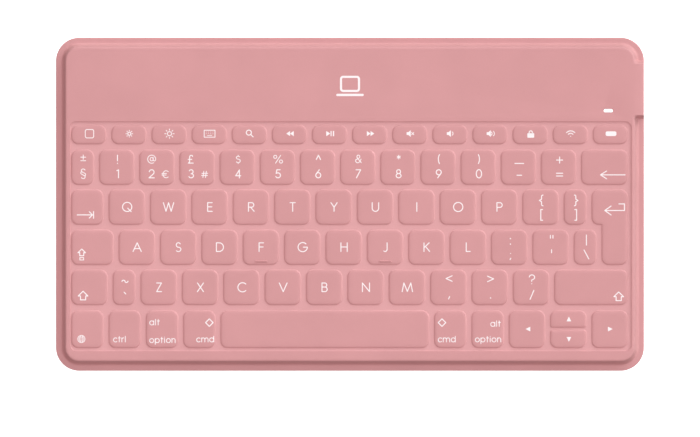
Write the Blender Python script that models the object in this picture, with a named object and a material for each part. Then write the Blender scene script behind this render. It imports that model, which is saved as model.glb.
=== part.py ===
"""Slim fabric-skinned wireless keyboard for a tablet, modelled as an assembly.

Frame: origin at the centre of the underside, +X towards the charging port, +Y towards the header
that holds the battery, +Z up through the keys. Dimensions below are in millimetres, and MM turns
them into Blender's metres where a mesh or a location is made.
"""

import math

import bmesh
import bpy

MM = 0.001

# Outline of the whole keyboard
WIDTH = 242.0
DEPTH = 137.0
CORNER_RADIUS = 9.5
HEIGHT = 6.0

# Stack of layers, from the table up: (bottom, top) of each
BOTTOM_SKIN_Z = (0.0, 0.70)
BASE_PLATE_Z = (0.75, 1.15)
MEMBRANE_Z = (1.20, 1.45)
DOME_SHEET_Z = (1.50, 1.80)
BOARD_Z = (1.50, 2.10)
RAIL_Z = (1.90, 3.90)
GUIDE_PLATE_Z = (4.00, 4.50)
HEADER_FRAME_TOP = 5.40
POCKET_TOP = 4.90
BATTERY_Z = (1.90, 4.80)
KEY_Z = (3.30, HEIGHT)
KEY_SHOULDER_Z = 5.65
LINK_Z = (3.40, 3.85)
BED_Z = (4.60, 5.20)
DOME_TOP = 3.20

# Top skin: a flange round the edge, a sloping wall, and a raised header and border
FLANGE_BOTTOM = 0.75
FLANGE_TOP = 1.25
FLANGE_WIDTH = 2.25
EDGE_ROUNDING = 0.20
WALL_TOP = (3.95, 5.55)
DECK_EDGE = (4.45, HEIGHT)
CAVITY_BASE_INSET = 2.95
CAVITY_TOP_INSET = 4.50
HEADER_CEILING = 5.50
BED_HALF_WIDTH = 115.35
BED_FRONT = -60.40
BED_BACK = 34.05
BED_CORNER = 2.6
HEADER_WALL = 0.9

# Insets of the inner layers from the outline, and how far the frame stays from the skin
BASE_PLATE_INSET = 3.4
RAIL_INSET = (3.85, 4.45)
GUIDE_PLATE_INSET = 4.75
FRAME_GAP = 0.25

# Key field
GAP = 1.75
FIELD_HALF_WIDTH = 114.70
FIELD_BACK = 33.30
FUNCTION_ROW_DEPTH = 8.50
MAIN_ROW_DEPTH = 14.775
BOTTOM_ROW_DEPTH = 16.40
KEY_CORNER = 2.3
HALF_KEY_GAP = 0.50
SHARP_CORNER = 0.3
KEY_DRAFT = 0.15
KEY_SHOULDER = 0.55
KEY_CLEARANCE = 0.25
LETTER = 15.28
DIGIT = 14.78
NARROW = 9.70
MODIFIER = 13.60
CAPS_LOCK = 17.72

# Switching layer
DOME_RADIUS = 3.2
SMALL_DOME_RADIUS = 2.4
DOME_TAPER = 0.65
DOME_SIDES = 6
LINK_DEPTH = 4.0

# Port block on the right side, with its cap, USB socket and power switch
BLOCK_Y = (35.70, 58.60)
BLOCK_FACE_X = 120.90
BLOCK_ROOT_X = 110.0
BLOCK_ROLL = 1.2
BLOCK_CAVITY = (112.0, 119.4)
BLOCK_WALL = 1.3
PORT_Z = 3.40
CAP_Y = (38.60, 57.40)
CAP_HEIGHT = 3.20
CAP_X = (119.55, 120.70)
CAP_CORNER = 0.9
CAP_CLEARANCE = 0.15
USB_Y = 44.50
USB_SHELL = (7.50, 2.50)
USB_MOUTH = (6.90, 1.85)
USB_X = (114.4, 120.4)
USB_DEPTH = 5.2
USB_TONGUE = (3.6, 0.5)
SWITCH_Y = 52.90
SWITCH_X = (115.4, 118.6)
SWITCH_SIZE = (8.0, 2.5)
SLIDER_NUB = (2.0, 1.2)
SLIDER_CARRIAGE = (2.8, 1.4)
SLIDER_TRAVEL = 2.5
SLIDER_TIP_X = 120.95
SLIDER_CLEARANCE = 0.15

# Pieces in the header
BATTERY_X = (-62.0, 62.0)
BATTERY_Y = (37.5, 60.5)
BOARD_X = (80.0, 118.8)
BOARD_Y = (37.3, 57.2)
RADIO_X = (84.0, 97.0)
RADIO_Y = (43.5, 55.5)
RADIO_TOP = 3.90
POCKET_MARGIN = 0.6
SPARE_POCKET_X = (-112.5, -66.0)
LIGHT_CENTRE = (106.3, 38.6)
LIGHT_SIZE = (4.2, 1.7)
LIGHT_BOTTOM = 2.20
TAIL_X = (83.0, 99.0)
TAIL_END_Y = 44.0

COLOURS = {
    "fabric": (0.71, 0.36, 0.37),
    "underside": (0.66, 0.33, 0.34),
    "key_fabric": (0.72, 0.37, 0.38),
    "polymer": (0.16, 0.16, 0.17),
    "steel": (0.62, 0.62, 0.63),
    "film": (0.55, 0.62, 0.55),
    "silicone": (0.80, 0.80, 0.78),
    "pouch": (0.55, 0.56, 0.58),
    "board": (0.05, 0.24, 0.12),
    "cap": (0.55, 0.27, 0.28),
    "lens": (0.92, 0.90, 0.90),
}


# ---------------------------------------------------------------- outlines

def rectangle(x_range, y_range):
    """The four corners of a rectangle, anticlockwise."""
    (x0, x1), (y0, y1) = x_range, y_range
    return [(x0, y0), (x1, y0), (x1, y1), (x0, y1)]


def centred(centre, size):
    """The corners of a rectangle of this size about a centre."""
    half_x, half_y = size[0] / 2, size[1] / 2
    return rectangle((centre[0] - half_x, centre[0] + half_x), (centre[1] - half_y, centre[1] + half_y))


def unit(start, end):
    """The direction from one point to another."""
    dx, dy = end[0] - start[0], end[1] - start[1]
    length = math.hypot(dx, dy)
    return dx / length, dy / length


def inset_corners(corners, distance):
    """A right-angled anticlockwise outline moved inwards, or outwards for a negative distance."""
    moved = []
    for index, (x, y) in enumerate(corners):
        before = unit(corners[index - 1], (x, y))
        after = unit((x, y), corners[(index + 1) % len(corners)])
        moved.append((x - (before[1] + after[1]) * distance, y + (before[0] + after[0]) * distance))
    return moved


def turns_left(corners, index):
    """True where an anticlockwise outline has an outward corner."""
    before = unit(corners[index - 1], corners[index])
    after = unit(corners[index], corners[(index + 1) % len(corners)])
    return before[0] * after[1] - before[1] * after[0] > 0


def rounded(corners, radii, segments=2):
    """A right-angled outline with an arc of the given radius at each corner."""
    if not isinstance(radii, (list, tuple)):
        radii = [radii] * len(corners)
    points = []
    for index, (x, y) in enumerate(corners):
        back = unit((x, y), corners[index - 1])
        ahead = unit((x, y), corners[(index + 1) % len(corners)])
        radius = radii[index]
        for step in range(segments + 1):
            angle = step / segments * math.pi / 2
            along_back = radius * (1 - math.sin(angle))
            along_ahead = radius * (1 - math.cos(angle))
            points.append((x + back[0] * along_back + ahead[0] * along_ahead,
                           y + back[1] * along_back + ahead[1] * along_ahead))
    return points


def case_outline(inset, segments=5):
    """The keyboard's outline, moved inwards."""
    corners = centred((0, 0), (WIDTH - 2 * inset, DEPTH - 2 * inset))
    return rounded(corners, CORNER_RADIUS - inset, segments)


# ---------------------------------------------------------------- solids

def add_loft(bm, levels):
    """Adds one closed solid through outlines of equal length, given as (points, z) from the bottom up."""
    loops = [[bm.verts.new((x * MM, y * MM, z * MM)) for x, y in points] for points, z in levels]
    bm.faces.new(list(reversed(loops[0])))
    for lower, upper in zip(loops, loops[1:]):
        for index, vert in enumerate(lower):
            following = (index + 1) % len(lower)
            bm.faces.new((vert, lower[following], upper[following], upper[index]))
    bm.faces.new(loops[-1])


def add_prism(bm, points, z_range):
    """Adds one straight-sided solid."""
    add_loft(bm, [(points, z_range[0]), (points, z_range[1])])


def add_side_prism(bm, points, x_range):
    """Adds a solid whose outline is given in Y and Z, and which runs along X."""
    loops = [[bm.verts.new((x * MM, y * MM, z * MM)) for y, z in points] for x in x_range]
    bm.faces.new(list(reversed(loops[0])))
    for index, vert in enumerate(loops[0]):
        following = (index + 1) % len(points)
        bm.faces.new((vert, loops[0][following], loops[1][following], loops[1][index]))
    bm.faces.new(loops[1])


def material(name):
    """A plain Principled material in one of the part's colours."""
    found = bpy.data.materials.get(name)
    if found:
        return found
    made = bpy.data.materials.new(name)
    made.use_nodes = True
    shader = made.node_tree.nodes["Principled BSDF"]
    shader.inputs["Base Color"].default_value = (*COLOURS[name], 1.0)
    shader.inputs["Roughness"].default_value = 0.35 if name in ("steel", "lens", "pouch") else 0.75
    shader.inputs["Metallic"].default_value = 1.0 if name == "steel" else 0.0
    return made


def add_object(name, bm, material_name, origin=(0.0, 0.0, 0.0)):
    """Turns a bmesh in world coordinates into an object whose origin is at the given point."""
    bmesh.ops.translate(bm, verts=bm.verts, vec=[-value * MM for value in origin])
    bmesh.ops.recalc_face_normals(bm, faces=bm.faces)
    mesh = bpy.data.meshes.new(name)
    bm.to_mesh(mesh)
    bm.free()
    mesh.materials.append(material(material_name))
    made = bpy.data.objects.new(name, mesh)
    made.location = [value * MM for value in origin]
    bpy.context.scene.collection.objects.link(made)
    return made


def hide_tool(tool):
    """Marks a Boolean's operand as a tool and not a piece."""
    tool.hide_render = True
    tool.display_type = "WIRE"


def combine(target, name, bm, operation="DIFFERENCE"):
    """Cuts a bmesh out of an object, or joins it on, with an exact Boolean."""
    tool = add_object(name, bm, "polymer")
    hide_tool(tool)
    boolean = target.modifiers.new(name, "BOOLEAN")
    boolean.operation = operation
    boolean.solver = "EXACT"
    boolean.object = tool


# ---------------------------------------------------------------- key layout

def row_of(widths):
    """Places one row's keys from left to right. The key with no width takes what is left."""
    taken = sum(width for _, width in widths if width) + GAP * (len(widths) - 1)
    spare = 2 * FIELD_HALF_WIDTH - taken
    share = spare / max(1, sum(1 for _, width in widths if not width))
    placed, x = {}, -FIELD_HALF_WIDTH
    for name, width in widths:
        placed[name] = (x, x + (width or share))
        x += (width or share) + GAP
    return placed


def key_corners():
    """Every key's corners, by name."""
    function_keys = [(f"f{number}", None) for number in range(1, 15)]
    digits = [(name, DIGIT) for name in "1234567890"] + [("minus", DIGIT), ("equals", DIGIT)]
    rows = (
        (FUNCTION_ROW_DEPTH, function_keys),
        (MAIN_ROW_DEPTH, [("section", NARROW), *digits, ("backspace", None)]),
        (MAIN_ROW_DEPTH, [("tab", MODIFIER), *[(name, LETTER) for name in "qwertyuiop"],
                          ("bracket_open", LETTER), ("bracket_close", NARROW), ("enter_upper", None)]),
        (MAIN_ROW_DEPTH, [("caps_lock", CAPS_LOCK), *[(name, LETTER) for name in "asdfghjkl"],
                          ("semicolon", LETTER), ("quote", LETTER), ("backslash", NARROW),
                          ("enter_lower", None)]),
        (MAIN_ROW_DEPTH, [("shift_left", LETTER), ("backtick", NARROW),
                          *[(name, LETTER) for name in "zxcvbnm"],
                          ("comma", LETTER), ("period", LETTER), ("slash", LETTER),
                          ("shift_right", None)]),
        (BOTTOM_ROW_DEPTH, [("globe", MODIFIER), ("ctrl", MODIFIER), ("option_left", MODIFIER),
                            ("cmd_left", MODIFIER), ("space", None), ("cmd_right", MODIFIER),
                            ("option_right", MODIFIER), ("left", LETTER), ("up_down", LETTER),
                            ("right", LETTER)]),
    )
    corners, back = {}, FIELD_BACK
    for depth, widths in rows:
        for name, x_range in row_of(widths).items():
            corners[name] = rectangle(x_range, (back - depth, back))
        back -= depth + GAP
    lower, upper = corners.pop("enter_lower"), corners.pop("enter_upper")
    corners["enter"] = [lower[0], lower[1], upper[2], upper[3], upper[0], (lower[0][0], upper[0][1])]
    (x0, y0), _, (x1, y1), _ = corners["up_down"]
    middle = (y0 + y1) / 2
    corners["down"] = rectangle((x0, x1), (y0, middle - HALF_KEY_GAP / 2))
    corners["up"] = rectangle((x0, x1), (middle + HALF_KEY_GAP / 2, y1))
    return corners


CORNERS = key_corners()

# Keys whose nodes are joined by a link under the deck, because a part holds at most 60 nodes
LINKED_KEYS = {
    "keys_function_left": [f"f{number}" for number in range(1, 8)],
    "keys_function_right": [f"f{number}" for number in range(8, 15)],
    "keys_number_left": ["section", *"123456"],
    "keys_number_right": [*"7890", "minus", "equals"],
    "keys_bracket": ["bracket_open", "bracket_close"],
    "keys_semicolon": ["semicolon", "quote", "backslash"],
    "keys_comma": ["comma", "period", "slash"],
    "keys_shift_left": ["shift_left", "backtick"],
    "keys_modifier_left": ["globe", "ctrl", "option_left", "cmd_left"],
    "keys_modifier_right": ["cmd_right", "option_right"],
}


def corner_radii(name):
    """A key's corner radii. The two half keys are sharp where they face each other."""
    if name == "down":
        return [KEY_CORNER, KEY_CORNER, SHARP_CORNER, SHARP_CORNER]
    if name == "up":
        return [SHARP_CORNER, SHARP_CORNER, KEY_CORNER, KEY_CORNER]
    return [KEY_CORNER] * len(CORNERS[name])


def key_outline(name, inset):
    """A key's rounded outline, moved inwards by inset."""
    corners = CORNERS[name]
    radii = []
    for index, radius in enumerate(corner_radii(name)):
        change = -inset if turns_left(corners, index) else inset
        radii.append(max(radius + change, SHARP_CORNER / 2))
    return rounded(inset_corners(corners, inset), radii)


def middle_of(name):
    """The centre of a key's box."""
    xs, ys = zip(*CORNERS[name])
    return (min(xs) + max(xs)) / 2, (min(ys) + max(ys)) / 2


def add_key(bm, name):
    """Adds one key: a block with a slight draft and a chamfered top edge."""
    add_loft(bm, [(key_outline(name, 0.0), KEY_Z[0]),
                  (key_outline(name, KEY_DRAFT), KEY_SHOULDER_Z),
                  (key_outline(name, KEY_SHOULDER), KEY_Z[1])])


def add_key_openings(bm, z_range):
    """Adds a cutter for every key. The two half keys share one opening."""
    for name in CORNERS:
        if name not in ("up", "down"):
            add_prism(bm, key_outline(name, -KEY_CLEARANCE), z_range)


# ---------------------------------------------------------------- pieces

def make_key(node, names):
    """One key, or a run of keys joined by a link under the deck, with its origin at its centre."""
    xs, ys = zip(*[middle_of(name) for name in names])
    origin = ((min(xs) + max(xs)) / 2, sum(ys) / len(ys), KEY_Z[0])
    bm = bmesh.new()
    for name in names:
        add_key(bm, name)
    key = add_object(node, bm, "key_fabric", origin)
    if len(names) == 1:
        return
    link = bmesh.new()
    add_prism(link, centred(origin[:2], (max(xs) - min(xs), LINK_DEPTH)), LINK_Z)
    combine(key, node + "_link", link, "UNION")


def make_keys():
    """Every key node."""
    linked = {name for names in LINKED_KEYS.values() for name in names}
    for node, names in LINKED_KEYS.items():
        make_key(node, names)
    for name in CORNERS:
        if name not in linked and name != "up_down":
            make_key("key_" + name, [name])


def make_bottom_skin():
    """The flat skin under the keyboard, with a rounded lower edge."""
    bottom, top = BOTTOM_SKIN_Z
    bm = bmesh.new()
    add_loft(bm, [(case_outline(EDGE_ROUNDING), bottom), (case_outline(0.0), bottom + EDGE_ROUNDING),
                  (case_outline(0.0), top)])
    add_object("bottom_skin", bm, "underside")


def port_block():
    """The solid that carries the deck out to the right edge, round the port, with a rolled top edge."""
    top_x = BLOCK_FACE_X - BLOCK_ROLL
    section = [(BLOCK_ROOT_X, FLANGE_BOTTOM), (BLOCK_FACE_X, FLANGE_BOTTOM),
               (BLOCK_FACE_X, HEIGHT - BLOCK_ROLL),
               (BLOCK_FACE_X - 0.3 * BLOCK_ROLL, HEIGHT - 0.3 * BLOCK_ROLL),
               (top_x, HEIGHT), (BLOCK_ROOT_X, HEIGHT)]
    bm = bmesh.new()
    loops = [[bm.verts.new((x * MM, y * MM, z * MM)) for x, z in section] for y in BLOCK_Y]
    bm.faces.new(loops[0])
    for index, vert in enumerate(loops[0]):
        following = (index + 1) % len(section)
        bm.faces.new((vert, loops[0][following], loops[1][following], loops[1][index]))
    bm.faces.new(list(reversed(loops[1])))
    return bm


def make_top_skin():
    """The one-piece skin: flange, wall, header, border, and the bed between the keys."""
    bm = bmesh.new()
    add_loft(bm, [
        (case_outline(0.0), FLANGE_BOTTOM),
        (case_outline(0.0), FLANGE_TOP - EDGE_ROUNDING),
        (case_outline(EDGE_ROUNDING), FLANGE_TOP),
        (case_outline(FLANGE_WIDTH), FLANGE_TOP + 0.05),
        (case_outline(WALL_TOP[0]), WALL_TOP[1]),
        (case_outline(DECK_EDGE[0]), DECK_EDGE[1]),
    ])
    skin = add_object("top_skin", bm, "fabric")
    combine(skin, "port_block", port_block(), "UNION")

    bed = bmesh.new()
    bed_corners = rectangle((-BED_HALF_WIDTH, BED_HALF_WIDTH), (BED_FRONT, BED_BACK))
    add_prism(bed, rounded(bed_corners, BED_CORNER), (BED_Z[1], HEIGHT + 1))
    combine(skin, "bed_cut", bed)

    cavity = bmesh.new()
    add_loft(cavity, [(case_outline(CAVITY_BASE_INSET), 0.0),
                      (case_outline(CAVITY_TOP_INSET), BED_Z[0])])
    combine(skin, "cavity_cut", cavity)

    header = bmesh.new()
    header_front = BED_BACK + HEADER_WALL
    header_back = DEPTH / 2 - DECK_EDGE[0] - HEADER_WALL
    header_half = WIDTH / 2 - DECK_EDGE[0] - HEADER_WALL
    add_prism(header, rectangle((-header_half, header_half), (header_front, header_back)),
              (RAIL_Z[0], HEADER_CEILING))
    combine(skin, "header_cut", header)

    block = bmesh.new()
    add_prism(block, rectangle(BLOCK_CAVITY, (BLOCK_Y[0] + BLOCK_WALL, BLOCK_Y[1] - BLOCK_WALL)),
              (0.1, HEADER_CEILING))
    combine(skin, "block_cut", block)

    port = bmesh.new()
    cap_middle = sum(CAP_Y) / 2
    cap_corners = centred((cap_middle, PORT_Z), (CAP_Y[1] - CAP_Y[0], CAP_HEIGHT))
    add_side_prism(port, rounded(cap_corners, CAP_CORNER), (CAP_X[0] - 1, BLOCK_FACE_X + 1))
    combine(skin, "port_cut", port)

    light = bmesh.new()
    light_size = [side + 2 * CAP_CLEARANCE for side in LIGHT_SIZE]
    add_prism(light, rounded(centred(LIGHT_CENTRE, light_size), light_size[1] * 0.49, 4),
              (HEADER_CEILING - 1, HEIGHT + 1))
    combine(skin, "light_cut", light)

    openings = bmesh.new()
    add_key_openings(openings, (BED_Z[0] - 0.5, BED_Z[1] + 0.3))
    combine(skin, "key_cut", openings)


def make_inner_frame():
    """The moulded frame: rails round the keys, and a header with pockets for battery and board."""
    bm = bmesh.new()
    add_loft(bm, [(case_outline(RAIL_INSET[0]), RAIL_Z[0]), (case_outline(RAIL_INSET[1]), RAIL_Z[1])])
    frame = add_object("inner_frame", bm, "polymer")

    header = bmesh.new()
    half = WIDTH / 2 - DECK_EDGE[0] - HEADER_WALL - FRAME_GAP
    back = DEPTH / 2 - DECK_EDGE[0] - HEADER_WALL - FRAME_GAP
    front = BED_BACK + HEADER_WALL + FRAME_GAP
    add_prism(header, rectangle((-half, half), (front, back)), (RAIL_Z[0] + 0.5, HEADER_FRAME_TOP))
    combine(frame, "header_union", header, "UNION")

    roof = bmesh.new()
    roof_y = (BLOCK_Y[0] + BLOCK_WALL + FRAME_GAP, BLOCK_Y[1] - BLOCK_WALL - FRAME_GAP)
    add_prism(roof, rectangle((half - 3, BLOCK_CAVITY[1] - FRAME_GAP), roof_y),
              (POCKET_TOP, HEADER_FRAME_TOP - 0.02))
    combine(frame, "roof_union", roof, "UNION")

    well = bmesh.new()
    add_prism(well, rectangle((-FIELD_HALF_WIDTH - KEY_CLEARANCE, FIELD_HALF_WIDTH + KEY_CLEARANCE),
                              (BED_FRONT + 0.4, BED_BACK - 0.3)), (RAIL_Z[0] - 1, HEIGHT))
    combine(frame, "key_well", well)

    pockets = bmesh.new()
    battery_y = (BATTERY_Y[0] - POCKET_MARGIN, BATTERY_Y[1] + POCKET_MARGIN)
    board_y = (BOARD_Y[0] - POCKET_MARGIN, BOARD_Y[1] + POCKET_MARGIN)
    for x_range, y_range in (((BATTERY_X[0] - POCKET_MARGIN, BATTERY_X[1] + POCKET_MARGIN), battery_y),
                             ((BOARD_X[0] - POCKET_MARGIN, WIDTH / 2), board_y),
                             (SPARE_POCKET_X, battery_y)):
        add_prism(pockets, rectangle(x_range, y_range), (RAIL_Z[0] - 1, POCKET_TOP))
    combine(frame, "pockets", pockets)

    light = bmesh.new()
    light_size = [side + 2 * CAP_CLEARANCE for side in LIGHT_SIZE]
    add_prism(light, rounded(centred(LIGHT_CENTRE, light_size), light_size[1] * 0.49, 4),
              (RAIL_Z[0], HEIGHT))
    combine(frame, "light_hole", light)


def make_guide_plate():
    """The flat plate between the keys, which backs the skin of the bed and guides each key."""
    half = WIDTH / 2 - GUIDE_PLATE_INSET
    front = -DEPTH / 2 + GUIDE_PLATE_INSET
    corner = CORNER_RADIUS - GUIDE_PLATE_INSET
    bm = bmesh.new()
    add_prism(bm, rounded(rectangle((-half, half), (front, BED_BACK + HEADER_WALL - FRAME_GAP)),
                          [corner, corner, 1.0, 1.0]), GUIDE_PLATE_Z)
    plate = add_object("guide_plate", bm, "polymer")
    openings = bmesh.new()
    add_key_openings(openings, (GUIDE_PLATE_Z[0] - 1, GUIDE_PLATE_Z[1] + 1))
    combine(plate, "plate_openings", openings)


def make_base_plate():
    """The steel plate that keeps the keyboard flat."""
    bm = bmesh.new()
    add_prism(bm, case_outline(BASE_PLATE_INSET), BASE_PLATE_Z)
    add_object("base_plate", bm, "steel")


def make_membrane():
    """The printed contact film under the keys, with a tail that runs to the board."""
    half = FIELD_HALF_WIDTH - 0.3
    back = FIELD_BACK
    corners = [(-half, BED_FRONT + 0.6), (half, BED_FRONT + 0.6), (half, back), (TAIL_X[1], back),
               (TAIL_X[1], TAIL_END_Y), (TAIL_X[0], TAIL_END_Y), (TAIL_X[0], back), (-half, back)]
    bm = bmesh.new()
    add_prism(bm, rounded(corners, 1.0), MEMBRANE_Z)
    add_object("membrane_circuit", bm, "film")


def make_dome_sheet():
    """The silicone sheet with one spring dome under each key."""
    half = FIELD_HALF_WIDTH - 0.6
    sheet = bmesh.new()
    add_prism(sheet, rectangle((-half, half), (BED_FRONT + 0.9, FIELD_BACK - 0.3)), DOME_SHEET_Z)
    made = add_object("dome_sheet", sheet, "silicone")
    domes = bmesh.new()
    for name, corners in CORNERS.items():
        if name == "up_down":
            continue
        depth = max(y for _, y in corners) - min(y for _, y in corners)
        radius = DOME_RADIUS if depth > FUNCTION_ROW_DEPTH else SMALL_DOME_RADIUS
        x, y = middle_of(name)
        rings = []
        for scale in (1.0, DOME_TAPER):
            angles = [step / DOME_SIDES * 2 * math.pi for step in range(DOME_SIDES)]
            rings.append([(x + radius * scale * math.cos(angle), y + radius * scale * math.sin(angle))
                          for angle in angles])
        add_loft(domes, [(rings[0], DOME_SHEET_Z[0] + 0.1), (rings[1], DOME_TOP)])
    combine(made, "dome_union", domes, "UNION")


def make_block(name, x_range, y_range, z_range, material_name, corner=0.5):
    """A plain rounded block, for a piece that is one."""
    bm = bmesh.new()
    add_prism(bm, rounded(rectangle(x_range, y_range), corner), z_range)
    return add_object(name, bm, material_name)


def make_header_pieces():
    """Battery, board with its soldered radio module, and the status light's lens."""
    make_block("battery_cell", BATTERY_X, BATTERY_Y, BATTERY_Z, "pouch", 1.5)
    board = make_block("main_board", BOARD_X, BOARD_Y, BOARD_Z, "board", 0.8)
    radio = bmesh.new()
    add_prism(radio, rounded(rectangle(RADIO_X, RADIO_Y), 0.6), (BOARD_Z[0] + 0.3, RADIO_TOP))
    combine(board, "radio_union", radio, "UNION")
    bm = bmesh.new()
    add_prism(bm, rounded(centred(LIGHT_CENTRE, LIGHT_SIZE), LIGHT_SIZE[1] * 0.49, 4),
              (LIGHT_BOTTOM, HEIGHT - 0.02))
    add_object("status_light", bm, "lens")


def make_port_cap():
    """The cap in the side of the port block, open for the USB socket and the switch."""
    middle = sum(CAP_Y) / 2
    size = (CAP_Y[1] - CAP_Y[0] - 2 * CAP_CLEARANCE, CAP_HEIGHT - 2 * CAP_CLEARANCE)
    bm = bmesh.new()
    add_side_prism(bm, rounded(centred((middle, PORT_Z), size), CAP_CORNER - CAP_CLEARANCE), CAP_X)
    cap = add_object("port_cap", bm, "cap")
    holes = bmesh.new()
    usb_hole = [side + 0.16 for side in USB_SHELL]
    through = (CAP_X[0] - 1, CAP_X[1] + 1)
    add_side_prism(holes, rounded(centred((USB_Y, PORT_Z), usb_hole), 0.6), through)
    slot = (SLIDER_NUB[0] + SLIDER_TRAVEL + 2 * SLIDER_CLEARANCE, SLIDER_NUB[1] + 2 * SLIDER_CLEARANCE)
    add_side_prism(holes, rounded(centred((SWITCH_Y, PORT_Z), slot), 0.3), through)
    combine(cap, "cap_holes", holes)


def make_usb_port():
    """The socket's metal shell with its mouth and contact tongue."""
    bm = bmesh.new()
    add_side_prism(bm, rounded(centred((USB_Y, PORT_Z), USB_SHELL), 0.5), USB_X)
    socket = add_object("usb_port", bm, "steel")
    mouth = bmesh.new()
    inner_end = USB_X[1] - USB_DEPTH
    add_side_prism(mouth, rounded(centred((USB_Y, PORT_Z), USB_MOUTH), 0.35), (inner_end, USB_X[1] + 1))
    combine(socket, "mouth_cut", mouth)
    tongue = bmesh.new()
    add_side_prism(tongue, centred((USB_Y, PORT_Z + 0.2), USB_TONGUE), (inner_end - 0.3, USB_X[1] - 1.0))
    combine(socket, "tongue_union", tongue, "UNION")


def make_power_switch():
    """The slide switch's body, and the slider that moves along Y in it."""
    bm = bmesh.new()
    add_side_prism(bm, centred((SWITCH_Y, PORT_Z), SWITCH_SIZE), SWITCH_X)
    body = add_object("switch_body", bm, "steel")
    track = bmesh.new()
    length = SLIDER_CARRIAGE[0] + SLIDER_TRAVEL + 2 * SLIDER_CLEARANCE
    track_size = (length, SLIDER_CARRIAGE[1] + 2 * SLIDER_CLEARANCE)
    track_start = SWITCH_X[0] + 1.0
    add_side_prism(track, centred((SWITCH_Y, PORT_Z), track_size), (track_start, SWITCH_X[1] + 1))
    combine(body, "track_cut", track)

    rest_y = SWITCH_Y - SLIDER_TRAVEL / 2
    carriage_end = SWITCH_X[1] + 0.4
    slider = bmesh.new()
    add_side_prism(slider, centred((rest_y, PORT_Z), SLIDER_CARRIAGE),
                   (track_start + SLIDER_CLEARANCE, carriage_end))
    made = add_object("power_slider", slider, "polymer", (SWITCH_X[1], rest_y, PORT_Z))
    nub = bmesh.new()
    add_side_prism(nub, centred((rest_y, PORT_Z), SLIDER_NUB), (carriage_end - 0.3, SLIDER_TIP_X))
    combine(made, "nub_union", nub, "UNION")


def main():
    for existing in list(bpy.data.objects):
        bpy.data.objects.remove(existing)
    make_bottom_skin()
    make_base_plate()
    make_membrane()
    make_dome_sheet()
    make_inner_frame()
    make_guide_plate()
    make_header_pieces()
    make_port_cap()
    make_usb_port()
    make_power_switch()
    make_keys()
    make_top_skin()


main()
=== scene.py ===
import math

import bmesh
import bpy
import numpy as np
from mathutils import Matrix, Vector
from mathutils.geometry import delaunay_2d_cdt


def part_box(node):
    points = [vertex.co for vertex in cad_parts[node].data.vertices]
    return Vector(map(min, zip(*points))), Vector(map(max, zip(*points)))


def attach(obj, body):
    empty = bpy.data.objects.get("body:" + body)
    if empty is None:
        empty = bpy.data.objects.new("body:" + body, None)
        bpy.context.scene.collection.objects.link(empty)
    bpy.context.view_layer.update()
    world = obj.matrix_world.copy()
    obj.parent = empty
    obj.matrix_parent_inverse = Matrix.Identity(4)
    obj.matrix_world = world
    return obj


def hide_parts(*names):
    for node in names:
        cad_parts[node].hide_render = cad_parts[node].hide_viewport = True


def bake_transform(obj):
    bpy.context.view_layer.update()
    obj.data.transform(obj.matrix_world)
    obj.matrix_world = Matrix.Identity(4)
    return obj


# Looks for the slim fabric-skinned keyboard. Lengths are in millimetres until a mesh is made.

MM = 0.001

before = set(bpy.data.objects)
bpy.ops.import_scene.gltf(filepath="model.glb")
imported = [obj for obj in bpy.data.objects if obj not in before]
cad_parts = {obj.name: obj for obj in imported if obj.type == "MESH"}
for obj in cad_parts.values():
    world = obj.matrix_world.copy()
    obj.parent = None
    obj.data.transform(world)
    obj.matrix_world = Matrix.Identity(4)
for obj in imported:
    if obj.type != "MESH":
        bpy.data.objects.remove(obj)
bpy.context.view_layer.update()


# ---------------------------------------------------------------- where things are, from the frame

def box_mm(node):
    """A node's lowest and highest corners, in millimetres."""
    low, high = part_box(node)
    return [value / MM for value in low], [value / MM for value in high]


CASE_LOW, CASE_HIGH = box_mm("bottom_skin")
HALF_X = (CASE_HIGH[0] - CASE_LOW[0]) / 2
HALF_Y = (CASE_HIGH[1] - CASE_LOW[1]) / 2
CASE_CORNER = 9.5
TOP = box_mm("top_skin")[1][2]
CAP_LOW, CAP_HIGH = box_mm("port_cap")
USB_LOW, USB_HIGH = box_mm("usb_port")
SLIDER_LOW, SLIDER_HIGH = box_mm("power_slider")
LIGHT_LOW, LIGHT_HIGH = box_mm("status_light")
LENS_LOW = LIGHT_LOW[0] + 0.20, LIGHT_LOW[1] + 0.02
LENS_HIGH = LIGHT_HIGH[0] - 0.20, LIGHT_HIGH[1] - 0.28
LENS_CORNER = (LENS_HIGH[1] - LENS_LOW[1]) / 2 - 0.02
KEY_NODES = sorted(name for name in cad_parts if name.startswith("key"))

# The bed between the keys
BED_TOP = 5.32
BED_UNDERSIDE = 4.60
BED_CORNER = 2.6
BED_RIM = 0.2
KEY_TOP_INSET = 0.55
KEY_CORNER = 2.8
ARROW_CORNER = 0.9
NOTCH_CORNER = 0.5
KEY_TRIM_LEFT = 0.12
KEY_TRIM_RIGHT = 0.50

# How far the rounded key edges stand in from the blocks below, row by row: (above this y, front, back)
ROW_TRIMS = ((22.0, 0.0, 0.90), (7.0, -0.20, 0.75), (-9.2, -0.10, 0.60), (-25.0, -0.10, 0.65),
             (-42.0, -0.10, 0.55), (-99.0, 0.35, 0.80))
ARROW_TRIMS = {"key_up": (0.30, 0.80), "key_down": (0.35, 0.35)}

# Loops of points round each key, as (outward offset, height), from the seam with the bed up to the flat top
KEY_PROFILE = (
    (0.30, 5.32), (0.26, 5.32), (0.20, 5.333), (0.14, 5.374), (0.08, 5.447), (0.0, 5.60),
    (-0.06, 5.72), (-0.16, 5.81), (-0.32, 5.878), (-0.56, 5.927), (-0.90, 5.961),
    (-1.30, 5.982), (-1.80, 5.995), (-2.20, 6.0), (-2.27, 6.0),
)
KEY_FOOT = (0.22, 4.10)
# Heights over which the painted lighter colour on the key slopes and the recess wall gives way to the top
# colour: a painted highlight on rims and walls
KEY_CREST = (5.455, 5.835)
RECESS_CREST = (5.82, 5.99)

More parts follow.
